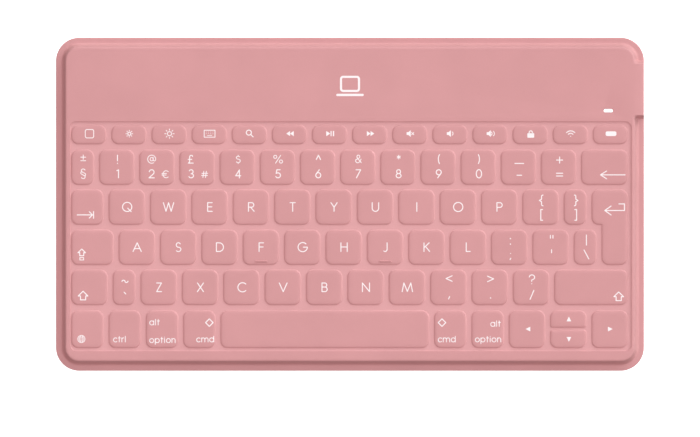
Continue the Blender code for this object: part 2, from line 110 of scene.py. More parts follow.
# The homing bars' loops, as (half width, lean towards the back, rise)
HOMING_RIDGE = ((0.40, 0.0, -0.10), (0.38, 0.0, 0.04), (0.29, 0.05, 0.20), (0.20, 0.10, 0.34),
                (0.12, 0.14, 0.42), (0.04, 0.17, 0.45))
HOMING_REACH = 2.15
HOMING_INSET = 1.27
HOMING_ROUND = 0.98

# Loops round the case, as (inset, height) where the edge is a flange, and where the port block is
EDGE_LEVELS = (
    ((1.60, 0.75), (1.00, 0.75)),
    ((0.05, 0.75), (0.20, 0.75)),
    ((-0.07, 0.80), (0.06, 0.80)),
    ((-0.10, 0.90), (0.02, 0.90)),
    ((-0.10, 1.08), (0.02, 1.10)),
    ((-0.08, 1.16), (0.02, 5.06)),
    ((-0.03, 1.23), (0.04, 5.22)),
    ((0.07, 1.29), (0.11, 5.40)),
    ((0.24, 1.33), (0.28, 5.56)),
    ((0.54, 1.35), (0.58, 5.68)),
)
WALL_LEVELS = (
    (1.10, 1.355), (1.65, 1.36), (1.95, 1.385), (2.15, 1.44), (2.32, 1.54), (2.46, 1.70), (2.58, 1.92),
    (2.68, 2.20), (3.17, 3.65), (3.66, 5.10), (3.74, 5.34), (3.84, 5.57), (3.98, 5.77), (4.18, 5.90),
    (4.45, 5.97), (4.72, 5.995), (4.90, 6.0),
)
FACE_LEVEL = 4
TOP_LEVEL = 6.0
BLOCK_SLUMP = 0.42
BLOCK_SHOULDER = 4.80
INNER_LEVELS = (((3.20, 0.75), (1.60, 0.75)), ((4.50, BED_UNDERSIDE), (1.60, 5.45)))

# The hollow under the header: its edges' insets, the bevel of its back corners, and its ceilings
HOLLOW_INSET = 5.35
HOLLOW_FRONT = 1.65
HOLLOW_BEVEL = 2.2
PORT_INSET = 1.75
PORT_CEILING = 5.44
HEADER_CEILING = 5.50

# The underside, from inside its sealed groove to its rolled edge, as (inset, height)
UNDERSIDE_PROFILE = (
    (3.75, 0.0), (3.60, 0.015), (3.45, 0.06), (3.30, 0.09), (3.10, 0.09), (2.95, 0.06), (2.80, 0.015),
    (2.65, 0.0), (0.75, 0.0), (0.45, 0.015), (0.20, 0.07), (0.03, 0.19), (-0.05, 0.36), (-0.05, 0.56),
    (0.0, 0.64), (0.12, 0.69), (0.40, 0.70),
)

# Loops round the case: how many steps each corner takes, and how many points each part of the right edge
CORNER_TURNS = ((1, 1, 40), (-1, 1, 20), (-1, -1, 20), (1, -1, 20))
RIGHT_COUNTS = (8, 22, 10, 16)

# Where the port block fades in before its cap and out after it, outside and inside the skin
BLOCK_RAMPS = ((3.65, 2.05), (0.45, 2.15))
HOLLOW_RAMPS = ((2.85, 1.95), (0.45, 1.25))
BLOCK_FLAT = CAP_LOW[1] - 1.75, CAP_HIGH[1] + 0.40

# The wall of the recess that holds the keys, as (outset, height)
RECESS_PROFILE = (
    (0.12, 6.0), (0.06, 5.998), (0.01, 5.986), (-0.03, 5.955), (-0.06, 5.882), (-0.09, 5.71),
    (-0.11, 5.547), (-0.13, 5.429), (-0.16, 5.356), (-0.22, 5.32),
)
RECESS_MARGINS = (0.48, 1.05, 1.22, 0.75)
LIGHT_PROFILE = ((0.22, 6.0), (0.15, 5.99), (0.09, 5.95), (0.06, 5.88), (0.06, HEADER_CEILING))

# Fittings in the port block, with the opening round the cap as (depth, growth)
CAP_CORNER = 0.75
CAP_OPENING = ((0.0, 0.195), (0.015, 0.17), (0.05, 0.155), (0.12, 0.15))
SOCKET_CORNER = 0.5
TONGUE_HALF_Y = 1.8
TONGUE_HALF_Z = 0.25
CONTACTS = 8
CONTACT_PITCH = 0.42
CONTACT_HALF_Y = 0.12
CONTACT_HALF_Z = 0.04
CONTACT_RISE = 0.012
NUB_LOW = SLIDER_LOW[1] + 0.4, SLIDER_LOW[2] + 0.1
NUB_HIGH = SLIDER_HIGH[1] - 0.4, SLIDER_HIGH[2] - 0.1
NUB_TRAVEL = 2.5
NUB_PLAY = 0.15
RIBS = 4
RIB_PITCH = 0.40
RIB_HALF = 0.10
RIB_MARGIN = 0.22

# The mark in the header: how far it is below the header's middle, and its parts' shifts and strokes
MARK_DROP = 2.4
TABLET_SHIFT, TABLET_STROKE = 1.0, 0.85
BAR_SHIFT, BAR_STROKE = -3.55, 0.95


# ---------------------------------------------------------------- outlines

def unit(start, end):
    """The direction from one point to another."""
    dx, dy = end[0] - start[0], end[1] - start[1]
    length = math.hypot(dx, dy)
    return dx / length, dy / length


def rectangle(low, high):
    """Four corners, anticlockwise from the lowest."""
    return [(low[0], low[1]), (high[0], low[1]), (high[0], high[1]), (low[0], high[1])]


def outset(corners, distances):
    """A right-angled anticlockwise outline with each edge moved outwards by its own distance."""
    moved = []
    for index, (x, y) in enumerate(corners):
        before = unit(corners[index - 1], (x, y))
        after = unit((x, y), corners[(index + 1) % len(corners)])
        reach_before, reach_after = distances[index - 1], distances[index]
        moved.append((x + before[1] * reach_before + after[1] * reach_after,
                      y - before[0] * reach_before - after[0] * reach_after))
    return moved


def rounded(corners, radii, segments=7):
    """A right-angled outline with an arc at each corner."""
    points = []
    for index, (x, y) in enumerate(corners):
        back = unit((x, y), corners[index - 1])
        ahead = unit((x, y), corners[(index + 1) % len(corners)])
        radius = radii[index]
        for step in range(segments + 1):
            angle = step / segments * math.pi / 2
            along_back = radius * (1 - math.sin(angle))
            along_ahead = radius * (1 - math.cos(angle))
            points.append((x + back[0] * along_back + ahead[0] * along_ahead,
                           y + back[1] * along_back + ahead[1] * along_ahead))
    return points


def soft_box(low, high, radius, grow=0.0, segments=7):
    """A rounded rectangle, grown outwards."""
    corners = outset(rectangle(low, high), [grow] * 4)
    return rounded(corners, [max(radius + grow, 0.02)] * 4, segments)


def smooth(value, start, end):
    """0 before start and 1 after end, easing between them."""
    share = min(1.0, max(0.0, (value - start) / (end - start)))
    return share * share * (3 - 2 * share)


class Key:
    """One key's outline, from the frame's block for it."""

    def __init__(self, corners, trims, radii=None):
        xs, ys = zip(*corners)
        self.centre = (min(xs) + max(xs)) / 2, (min(ys) + max(ys)) / 2
        insets = []
        for index, corner in enumerate(corners):
            dx, dy = unit(corner, corners[(index + 1) % len(corners)])
            side = KEY_TRIM_RIGHT if dy > 0.5 else KEY_TRIM_LEFT
            insets.append(-side if abs(dy) > 0.5 else -trims[0 if dx > 0 else 1])
        self.corners = outset(corners, insets)
        self.radii = radii or [KEY_CORNER] * len(corners)
        xs, ys = zip(*self.corners)
        self.low, self.high = (min(xs), min(ys)), (max(xs), max(ys))

    def outline(self, offset):
        """The outline moved outwards, or inwards for a negative offset."""
        radii = []
        for index, radius in enumerate(self.radii):
            before = unit(self.corners[index - 1], self.corners[index])
            after = unit(self.corners[index], self.corners[(index + 1) % len(self.corners)])
            outward = before[0] * after[1] - before[1] * after[0] > 0
            radii.append(max(radius + (offset if outward else -offset), 0.02))
        return rounded(outset(self.corners, [offset] * len(self.corners)), radii)

    def depth_inside(self, x, y):
        """How far a point lies inside the outline."""
        best = 1e9
        for index, start in enumerate(self.corners):
            end = self.corners[(index + 1) % len(self.corners)]
            direction = unit(start, end)
            length = math.dist(start, end)
            along = min(length, max(0.0, (x - start[0]) * direction[0] + (y - start[1]) * direction[1]))
            nearest = start[0] + direction[0] * along, start[1] + direction[1] * along
            best = min(best, math.dist((x, y), nearest))
        return best

    def height(self, x, y):
        """The height of the key's top at a point."""
        depth = self.depth_inside(x, y)
        for (outer, low), (inner, high) in zip(KEY_PROFILE[5:], KEY_PROFILE[6:]):
            if depth < -inner:
                return low + (high - low) * (depth + outer) / (outer - inner)
        return KEY_PROFILE[-1][1]


def top_islands(node):
    """The boxes of a node's separate top faces, from left to right, in millimetres."""
    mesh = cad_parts[node].data
    owner = {}

    def find(item):
        while owner[item] != item:
            item = owner[item]
        return item

    for polygon in mesh.polygons:
        spots = [mesh.vertices[index].co / MM for index in polygon.vertices]
        if min(spot.z for spot in spots) < TOP - 0.01:
            continue
        names = [(round(spot.x, 2), round(spot.y, 2)) for spot in spots]
        for name in names:
            owner.setdefault(name, name)
        for name in names[1:]:
            owner[find(name)] = find(names[0])
    groups = {}
    for name in owner:
        groups.setdefault(find(name), []).append(name)
    return sorted(groups.values(), key=lambda spots: min(x for x, _ in spots))


def keys_of(node):
    """The keys in one node, from left to right."""
    low, high = box_mm(node)
    if node in ARROW_TRIMS:
        square = [ARROW_CORNER, ARROW_CORNER]
        soft = [KEY_CORNER, KEY_CORNER]
        radii = square + soft if node == "key_up" else soft + square
        return [Key(rectangle(low, high), ARROW_TRIMS[node], radii)]
    middle = (low[1] + high[1]) / 2
    trims = next((front, back) for above, front, back in ROW_TRIMS if middle > above)
    found = []
    for spots in top_islands(node):
        xs, ys = zip(*spots)
        low = min(xs) - KEY_TOP_INSET, min(ys) - KEY_TOP_INSET
        high = max(xs) + KEY_TOP_INSET, max(ys) + KEY_TOP_INSET
        notch_x = min(x for x, y in spots if y < min(ys) + KEY_CORNER) - KEY_TOP_INSET
        notch_y = min(y for x, y in spots if x < min(xs) + KEY_CORNER) - KEY_TOP_INSET
        if notch_y > low[1] + 2 * KEY_CORNER:
            corners = [(notch_x, low[1]), (high[0], low[1]), high, (low[0], high[1]), (low[0], notch_y),
                       (notch_x, notch_y)]
            found.append(Key(corners, trims, [KEY_CORNER] * 5 + [NOTCH_CORNER]))
        else:
            found.append(Key(rectangle(low, high), trims))
    return found


KEYS = {node: keys_of(node) for node in KEY_NODES}
FIELD_LOW = [min(box_mm(node)[0][axis] for node in KEY_NODES) for axis in (0, 1)]
FIELD_HIGH = [max(box_mm(node)[1][axis] for node in KEY_NODES) for axis in (0, 1)]
BED_CORNERS = outset(rectangle(FIELD_LOW, FIELD_HIGH),
                     [RECESS_MARGINS[1], RECESS_MARGINS[2], RECESS_MARGINS[3], RECESS_MARGINS[0]])


# ---------------------------------------------------------------- meshes

def crossings(points, loops):
    """Which points are inside an odd number of loops."""
    points = np.array(points, float)
    inside = np.zeros(len(points), bool)
    for loop in loops:
        start = np.array(loop, float)
        end = np.roll(start, -1, axis=0)
        for (x0, y0), (x1, y1) in zip(start, end):
            if y0 == y1:
                continue
            spans = (points[:, 1] > min(y0, y1)) & (points[:, 1] <= max(y0, y1))
            at = x0 + (points[:, 1] - y0) * (x1 - x0) / (y1 - y0)
            inside ^= spans & (points[:, 0] < at)
    return inside


def link(name, data):
    """Puts a new object in the scene."""
    made = bpy.data.objects.new(name, data)
    bpy.context.scene.collection.objects.link(made)
    return made


def triangulated(loops, tolerance):
    """Triangles over loops: the points, the triangles, each point's sources and each triangle's middle."""
    flat, edges = [], []
    for loop in loops:
        first = len(flat)
        flat += [Vector(spot) for spot in loop]
        edges += [(first + k, first + (k + 1) % len(loop)) for k in range(len(loop))]
    placed, _, triangles, sources, _, _ = delaunay_2d_cdt(flat, edges, [], 0, tolerance)
    middles = [sum((placed[i] for i in triangle), Vector((0, 0))) / 3 for triangle in triangles]
    return placed, triangles, sources, middles


class Shell:
    """A mesh made from loops of points."""

    def __init__(self):
        self.points = []
        self.faces = []

    def loop(self, points):
        """Adds points and gives their indices."""
        first = len(self.points)
        self.points.extend(points)
        return list(range(first, len(self.points)))

    def flat_loop(self, outline, z):
        """Adds an outline at one height."""
        return self.loop([(x, y, z) for x, y in outline])

    def bridge(self, lower, upper, skip=()):
        """Joins two loops of equal length with quads."""
        for index, point in enumerate(lower):
            if index in skip:
                continue
            after = (index + 1) % len(lower)
            self.faces.append((point, lower[after], upper[after], upper[index]))

    def stack(self, loops):
        """Joins a run of loops."""
        for lower, upper in zip(loops, loops[1:]):
            self.bridge(lower, upper)

    def fill(self, loops, axes=(0, 1)):
        """Fills the region inside the first loop and outside the rest."""
        spots = [[(self.points[i][axes[0]], self.points[i][axes[1]]) for i in loop] for loop in loops]
        members = [i for loop in loops for i in loop]
        _, triangles, sources, middles = triangulated(spots, 1e-6)
        for triangle, inside in zip(triangles, crossings(middles, spots)):
            if inside:
                self.faces.append([members[sources[i][0]] for i in triangle])

    def capped(self, loops, axes=(0, 1)):
        """Joins a run of loops and fills both ends."""
        self.stack(loops)
        self.fill([loops[0]], axes)
        self.fill([loops[-1]], axes)

    def piece(self, name, material, body=None, sharp=50.0):
        """Makes the object, smooth apart from its sharp edges, and has it ride on a body."""
        mesh = bpy.data.meshes.new(name)
        mesh.from_pydata([Vector(point) * MM for point in self.points], [], self.faces)
        bm = bmesh.new()
        bm.from_mesh(mesh)
        bmesh.ops.recalc_face_normals(bm, faces=bm.faces)
        bm.to_mesh(mesh)
        bm.free()
        mesh.polygons.foreach_set("use_smooth", [True] * len(mesh.polygons))
        mesh.set_sharp_from_angle(angle=math.radians(sharp))
        mesh.materials.append(material)
        made = link(name, mesh)
        if body:
            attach(made, body)
        return made


def mark_crest(piece, rise=KEY_CREST):
    """Stores how high each point is above the bed, which sets where the skin's painted lighter colour goes.
    All is high outside the bed.
    """
    (_, front), (right, back) = BED_CORNERS[0], BED_CORNERS[2]
    values = []
    for vertex in piece.data.vertices:
        x, y, z = vertex.co / MM
        over_bed = abs(x) < right + BED_RIM and front - BED_RIM < y < back + BED_RIM
        values.append(smooth(z, *rise) if over_bed else 1.0)
    crest = piece.data.attributes.new("crest", "FLOAT", "POINT")
    crest.data.foreach_set("value", values)


# ---------------------------------------------------------------- materials

class Nodes:
    """A node tree and the means to add to it."""

    def __init__(self, tree):
        self.tree = tree

    def add(self, kind, inputs=None, **settings):
        """Adds a node, with its inputs set or linked."""
        node = self.tree.nodes.new(kind)
        for name, value in settings.items():
            setattr(node, name, value)
        for name, value in (inputs or {}).items():
            self.put(node.inputs[name], value)
        return node

    def put(self, socket, value):
        """Sets an input, with alpha added to a colour, or links an output to it."""
        if isinstance(value, bpy.types.NodeSocket):
            self.tree.links.new(value, socket)
        else:
            socket.default_value = (*value, 1.0) if socket.type == "RGBA" else value

    def span(self, value, start, end, low=0.0, high=1.0):
        """A value mapped from one range to another."""
        inputs = {"Value": value, "From Min": start, "From Max": end, "To Min": low, "To Max": high}
        return self.add("ShaderNodeMapRange", inputs).outputs[0]


class Graph(Nodes):
    """A material's nodes."""

    def __init__(self, name):
        self.material = bpy.data.materials.new(name)
        self.material.use_nodes = True
        super().__init__(self.material.node_tree)
        self.shader = self.tree.nodes["Principled BSDF"]
        self.place = self.add("ShaderNodeTexCoord").outputs["Object"]

    def math(self, operation, first, second=0.0):
        """One sum."""
        return self.add("ShaderNodeMath", {0: first, 1: second}, operation=operation).outputs[0]

    def noise(self, scale, detail=2.0, place=None):
        """Noise about 0.5, with its scale in features a metre."""
        inputs = {"Vector": place or self.place, "Scale": scale, "Detail": detail}
        return self.add("ShaderNodeTexNoise", inputs).outputs["Fac"]

    def cells(self, scale, **settings):
        """The distance to a scattered pattern of points, or to the edges between them."""
        inputs = {"Vector": self.place, "Scale": scale}
        return self.add("ShaderNodeTexVoronoi", inputs, **settings).outputs["Distance"]

    def mix(self, share, first, second, blend="MIX"):
        """Two colours mixed."""
        inputs = {0: share, 6: first, 7: second}
        return self.add("ShaderNodeMix", inputs, data_type="RGBA", blend_type=blend).outputs[2]

    def bump(self, height, distance, strength=1.0):
        """Gives the shader a bumped normal."""
        made = self.add("ShaderNodeBump", {"Height": height, "Distance": distance, "Strength": strength})
        self.put(self.shader.inputs["Normal"], made.outputs[0])

    def finish(self, **values):
        """Sets the shader's inputs and gives the material."""
        for name, value in values.items():
            self.put(self.shader.inputs[name.replace("_", " ")], value)
        return self.material

    def clouded(self, scale, detail, first, second, rough, **rest):
        """Finishes the material in soft patches of two colours, the second one rougher."""
        cloud = self.noise(scale, detail)
        return self.finish(Base_Color=self.mix(self.span(cloud, 0.3, 0.7), first, second),
                           Roughness=self.span(cloud, 0.3, 0.7, *rough), **rest)


def coated_fabric(name, top, bed):
    """Fine woven cloth under a matt coating, with a lighter pink painted in the bed, low on the key slopes
    and on the recess walls as painted light.
    """
    g = Graph(name)
    drift = g.noise(700.0, 1.0)
    parts = g.add("ShaderNodeSeparateXYZ", {0: g.place}).outputs
    waves = []
    for part in (parts[0], parts[1]):
        turned = g.math("MULTIPLY", part, 2 * math.pi / WEAVE_PITCH)
        waves.append(g.math("SINE", g.math("ADD", turned, g.math("MULTIPLY", drift, 2.4))))
    weave = g.math("MULTIPLY", waves[0], waves[1])
    grain = g.noise(5200.0, 3.0)
    height = g.math("ADD", g.math("MULTIPLY", weave, 0.30), g.math("MULTIPLY", grain, 0.55))
    height = g.math("ADD", height, g.math("MULTIPLY", g.cells(1250.0), -0.25))
    g.bump(height, 0.00005, 0.45)
    # Below the crest heights the skin takes the lighter colour: painted light on the bed, the key slopes
    # and the recess walls
    crest = g.add("ShaderNodeAttribute", attribute_name="crest").outputs["Fac"]
    colour = g.mix(crest, bed, top)
    patches = g.span(g.noise(55.0, 3.0), 0.3, 0.7, 0.975, 1.02)
    speckle = g.span(grain, 0.25, 0.75, 0.955, 1.04)
    # The weave's low points are a little darker: painted shade in its hollows
    weave_hollow_shade = g.span(weave, -1.0, 1.0, 0.982, 1.012)
    shade = g.math("MULTIPLY", g.math("MULTIPLY", patches, speckle), weave_hollow_shade)
    grey = g.add("ShaderNodeCombineColor", {0: shade, 1: shade, 2: shade}).outputs[0]
    colour = g.mix(1.0, colour, grey, "MULTIPLY")
    # Tilted faces turn a little lighter: wear, and a painted sheen that lifts the walls and key slopes
    tilt = g.add("ShaderNodeSeparateXYZ", {0: g.add("ShaderNodeNewGeometry").outputs["Normal"]}).outputs[2]
    wear_and_sheen = g.math("MULTIPLY", g.span(tilt, 0.98, 0.75), g.span(g.noise(900.0, 4.0), 0.3, 0.7, 0.020, 0.042))
    colour = g.mix(wear_and_sheen, colour, (0.93, 0.72, 0.70))
    rough = g.span(grain, 0.2, 0.8, 0.60, 0.76)
    return g.finish(Base_Color=colour, Roughness=rough, Specular_IOR_Level=0.28, Sheen_Weight=0.33,
                    Sheen_Roughness=0.50, Sheen_Tint=(1.0, 0.50, 0.50))


def printed_ink():
    """Opaque white ink, with the cloth's grain just showing through."""
    g = Graph("legend_ink")
    grain = g.noise(5200.0, 3.0)
    colour = g.mix(g.span(grain, 0.3, 0.8, 0.0, 0.22), (0.62, 0.61, 0.62), (0.56, 0.50, 0.51))
    g.bump(grain, 0.00002, 0.4)
    return g.finish(Base_Color=colour, Roughness=g.span(grain, 0.2, 0.8, 0.42, 0.58))


def polymer(name, colour, rough=0.5):
    """Moulded plastic with a fine spark-eroded grain."""
    g = Graph(name)
    grain = g.cells(3800.0)
    fine = g.noise(2600.0, 3.0)
    darker = tuple(part * 0.80 for part in colour)
    g.bump(g.math("ADD", grain, fine), 0.00002, 0.5)
    return g.finish(Base_Color=g.mix(g.span(fine, 0.3, 0.7), darker, colour),
                    Roughness=g.span(grain, 0.0, 0.8, rough - 0.08, rough + 0.1))


def brushed_metal(name, colour, rough=0.32):
    """Metal with fine lines along X."""
    g = Graph(name)
    stretched = g.add("ShaderNodeMapping", {"Vector": g.place, "Scale": (40.0, 9000.0, 9000.0)}).outputs[0]
    lines = g.noise(1.0, 4.0, stretched)
    tarnish = g.noise(140.0, 4.0)
    g.bump(lines, 0.000006, 0.6)
    duller = tuple(part * 0.82 for part in colour)
    return g.finish(Base_Color=g.mix(g.span(tarnish, 0.35, 0.7), colour, duller), Metallic=1.0,
                    Roughness=g.span(lines, 0.25, 0.75, rough - 0.08, rough + 0.12))


def tracked(name, scale, gap, sheets, track, depth, strength, patches, rough, **rest):
    """A sheet crossed by printed tracks, with its two sheet colours and its tracks' colour."""
    g = Graph(name)
    inputs = {"Vector": g.place, "Scale": scale, "Mortar Size": gap,
              "Color1": sheets[0], "Color2": sheets[1], "Mortar": track}
    tracks = g.add("ShaderNodeTexBrick", inputs).outputs
    g.bump(tracks["Fac"], depth, strength)
    shine = g.span(g.noise(patches), 0.3, 0.7, *rough)
    return g.finish(Base_Color=tracks["Color"], Roughness=shine, **rest)


def printed_film():
    """Clear-tinted film with a grid of printed silver tracks."""
    sheets = (0.50, 0.58, 0.52), (0.46, 0.55, 0.49)
    return tracked("contact_film", 60.0, 0.03, sheets, (0.80, 0.81, 0.79), 0.00002, 0.6, 300.0, (0.25, 0.4))


def circuit_board():
    """Solder mask over copper tracks."""
    sheets = (0.020, 0.13, 0.055), (0.015, 0.11, 0.05)
    return tracked("solder_mask", 240.0, 0.05, sheets, (0.05, 0.24, 0.09), 0.00003, 0.7, 900.0, (0.3, 0.45),
                   Coat_Weight=0.4)


def silicone():
    """Milky soft rubber."""
    g = Graph("milky_silicone")
    g.bump(g.noise(3000.0), 0.00001, 0.5)
    return g.clouded(260.0, 4.0, (0.76, 0.76, 0.74), (0.86, 0.86, 0.84), (0.42, 0.55),
                     Subsurface_Weight=0.2)


def foil_pouch():
    """Crinkled laminated foil."""
    g = Graph("foil_pouch")
    g.bump(g.math("ADD", g.cells(180.0, feature="DISTANCE_TO_EDGE"), g.noise(120.0, 5.0)), 0.00015, 0.5)
    return g.clouded(120.0, 5.0, (0.52, 0.53, 0.55), (0.66, 0.67, 0.69), (0.28, 0.42), Metallic=0.75)


def light_lens():
    """White diffusing plastic, lit from below."""
    g = Graph("diffuser")
    cloud = g.noise(800.0, 2.0)
    white = g.mix(g.span(cloud, 0.3, 0.7), (0.93, 0.92, 0.91), (0.97, 0.97, 0.965))
    g.bump(g.noise(4200.0, 2.0), 0.00001, 0.3)
    return g.finish(Base_Color=white, Roughness=g.span(cloud, 0.3, 0.7, 0.22, 0.32), Emission_Color=white,
                    Emission_Strength=0.25, Subsurface_Weight=0.15)


WEAVE_PITCH = 0.00036
TOP_PINK = (0.4220, 0.2160, 0.2218)
# The bed's lighter pink is painted light: it brightens the bed, the low key slopes and the recess walls
# where shade would dim them
BED_PINK_PAINTED_LIGHT = (0.4810, 0.2595, 0.2670)
UNDERSIDE_PINK = (0.459, 0.240, 0.246)
SKIN = coated_fabric("coated_fabric", TOP_PINK, BED_PINK_PAINTED_LIGHT)
UNDERSIDE = coated_fabric("coated_fabric_underside", UNDERSIDE_PINK, UNDERSIDE_PINK)
INK = printed_ink()
PINK_POLYMER = polymer("pink_polymer", (0.448, 0.230, 0.236), 0.42)
DARK_POLYMER = polymer("dark_polymer", (0.045, 0.045, 0.048), 0.55)
STEEL = brushed_metal("brushed_steel", (0.62, 0.62, 0.63))
NICKEL = brushed_metal("nickel_shell", (0.70, 0.70, 0.70), 0.26)
GOLD = brushed_metal("gold_contact", (0.86, 0.66, 0.32), 0.24)
LENS = light_lens()


# ---------------------------------------------------------------- the skin over the deck

def case_spokes():
    """Where points round the case lie, as (the corner's centre, the direction from it)."""
    centre_x, centre_y = HALF_X - CASE_CORNER, HALF_Y - CASE_CORNER
    spokes = []
    for turn, (side_x, side_y, steps) in enumerate(CORNER_TURNS):
        for step in range(steps + 1):
            angle = (turn + step / steps) * math.pi / 2
            direction = math.cos(angle), math.sin(angle)
            spokes.append(((side_x * centre_x, side_y * centre_y), direction))
    stops = (-centre_y, CAP_LOW[1] - BLOCK_RAMPS[0][0] - 0.1, *BLOCK_FLAT, centre_y)
    right = []
    for start, end, count in zip(stops, stops[1:], RIGHT_COUNTS):
        right += list(np.linspace(start, end, count)[1:])
    spokes += [((centre_x, y), (1.0, 0.0)) for y in right[:-1]]
    return spokes


def block_share(y, ramps):
    """How much of the port block there is at a place along the right edge."""
    rise = smooth(y, CAP_LOW[1] - ramps[0][0], CAP_LOW[1] - ramps[0][1])
    fall = smooth(y, CAP_HIGH[1] + ramps[1][0], CAP_HIGH[1] + ramps[1][1])
    return rise * (1 - fall)


def case_loop(shell, spokes, flange, block, ramps):
    """One loop round the case, which changes its level where the port block is."""
    points = []
    for (x, y), direction in spokes:
        share = block_share(y + direction[1] * CASE_CORNER, ramps) if x > 0 and direction[0] > 0 else 0.0
        inset = flange[0] + (block[0] - flange[0]) * share
        height = flange[1] + (block[1] - flange[1]) * share
        reach = CASE_CORNER - inset
        points.append((x + direction[0] * reach, y + direction[1] * reach, height))
    return shell.loop(points)


def side_loops(shell, low, high, radius, levels, segments=7):
    """Loops in the YZ plane, as (x, outward growth) levels."""
    return [shell.loop([(x, y, z) for y, z in soft_box(low, high, radius, grow, segments)])
            for x, grow in levels]


def level_loops(shell, low, high, radius, levels, segments=7):
    """Loops in the XY plane, as (outward growth, height) levels."""
    return [shell.flat_loop(soft_box(low, high, radius, grow, segments), z) for grow, z in levels]


def block_height(inset):
    """The port block's top, which slumps a little towards its outer edge."""
    return TOP_LEVEL - BLOCK_SLUMP * max(0.0, 1 - inset / BLOCK_SHOULDER) ** 2


def patch(shell, lower, upper, opening, spokes):
    """Fills the block's flat face between two loops round an opening, and gives the quads it stands for."""
    inside = [i for i, ((_, y), direction) in enumerate(spokes)
              if direction == (1.0, 0.0) and BLOCK_FLAT[0] - 0.01 < y < BLOCK_FLAT[1] + 0.01]
    inside.sort(key=lambda i: spokes[i][0][1])
    rim = [lower[i] for i in inside] + [upper[i] for i in reversed(inside)]
    shell.fill([rim, opening], (1, 2))
    return inside[:-1]


def make_skin():
    """The one-piece skin: flange, wall, header, border, port block, and the bed between the keys."""
    shell = Shell()
    spokes = case_spokes()
    levels = list(EDGE_LEVELS) + [((d, z), (d, block_height(d))) for d, z in WALL_LEVELS]
    loops = [case_loop(shell, spokes, *level, BLOCK_RAMPS) for level in levels]
    inner = [case_loop(shell, spokes, *level, HOLLOW_RAMPS) for level in INNER_LEVELS]

    face_x = HALF_X - EDGE_LEVELS[FACE_LEVEL][1][0]
    levels = [(face_x - depth, grow) for depth, grow in CAP_OPENING]
    levels.append((HALF_X - INNER_LEVELS[0][1][0], CAP_OPENING[-1][1]))
    tunnel = side_loops(shell, CAP_LOW[1:], CAP_HIGH[1:], CAP_CORNER, levels)
    shell.stack(tunnel)
    outer_skip = patch(shell, loops[FACE_LEVEL], loops[FACE_LEVEL + 1], tunnel[0], spokes)
    inner_skip = patch(shell, inner[0], inner[1], tunnel[-1], spokes)
    for index, (lower, upper) in enumerate(zip(loops, loops[1:])):
        shell.bridge(lower, upper, outer_skip if index == FACE_LEVEL else ())
    shell.bridge(inner[0], loops[0])
    shell.bridge(inner[0], inner[1], inner_skip)

    recess = []
    for grow, z in RECESS_PROFILE:
        corners = outset(BED_CORNERS, [grow] * 4)
        recess.append(shell.flat_loop(rounded(corners, [max(BED_CORNER + grow, 0.02)] * 4, 10), z))
    shell.stack(recess)
    light = level_loops(shell, LENS_LOW, LENS_HIGH, LENS_CORNER, LIGHT_PROFILE)
    shell.stack(light)
    shell.fill([loops[-1], recess[0], light[0]])

    seams, feet = [], []
    for node in KEY_NODES:
        for key in KEYS[node]:
            outline = key.outline(KEY_PROFILE[0][0])
            seams.append(shell.flat_loop(outline, BED_TOP))
            feet.append(shell.flat_loop(outline, BED_UNDERSIDE))
            shell.bridge(seams[-1], feet[-1])
    shell.fill([recess[-1], *seams])

    half, front, back = HALF_X - HOLLOW_INSET, FIELD_HIGH[1] + HOLLOW_FRONT, HALF_Y - HOLLOW_INSET
    port_x, port_front, port_back = HALF_X - PORT_INSET, CAP_LOW[1] - PORT_INSET, CAP_HIGH[1] + 0.05
    bevel_x, bevel_y = half - HOLLOW_BEVEL, back - HOLLOW_BEVEL
    hollow = [(-half, front), (half, front), (half, port_front), (port_x, port_front), (port_x, port_back),
              (half, port_back), (half, bevel_y), (bevel_x, back), (-bevel_x, back), (-half, bevel_y)]
    low = shell.loop([(x, y, PORT_CEILING if x == port_x else BED_UNDERSIDE) for x, y in hollow])
    roof = shell.flat_loop(hollow, HEADER_CEILING)
    shell.bridge(low, roof)
    shell.fill([roof, light[-1]])
    shell.fill([inner[1], low, *feet])

    skin = shell.piece("deck_skin", SKIN, "chassis")
    mark_crest(skin, RECESS_CREST)
    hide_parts("top_skin")
    return skin


# ---------------------------------------------------------------- keys

def add_homing_bar(shell, key):
    """A low ridge near a key's front edge, steeper at its back."""
    loops = []
    for half_width, lean, rise in HOMING_RIDGE:
        reach, middle = HOMING_REACH + half_width, key.low[1] + HOMING_INSET + lean
        outline = soft_box((key.centre[0] - reach, middle - half_width),
                           (key.centre[0] + reach, middle + half_width), half_width * HOMING_ROUND)
        loops.append(shell.loop([(x, y, key.height(x, y) + rise) for x, y in outline]))
    shell.capped(loops)


def make_key_skins():
    """The skin over each key, from its seam with the deck up to the key's top."""
    made = []
    for node in KEY_NODES:
        shell = Shell()
        for key in KEYS[node]:
            levels = (KEY_FOOT, *KEY_PROFILE)
            shell.capped([shell.flat_loop(key.outline(offset), z) for offset, z in levels])
            if node in ("key_f", "key_j"):
                add_homing_bar(shell, key)
        piece = shell.piece(node.replace("key", "cap", 1) + "_skin", SKIN)
        mark_crest(piece)
        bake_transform(piece)
        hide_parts(node)
        made.append(piece)
    return made


# ---------------------------------------------------------------- legends

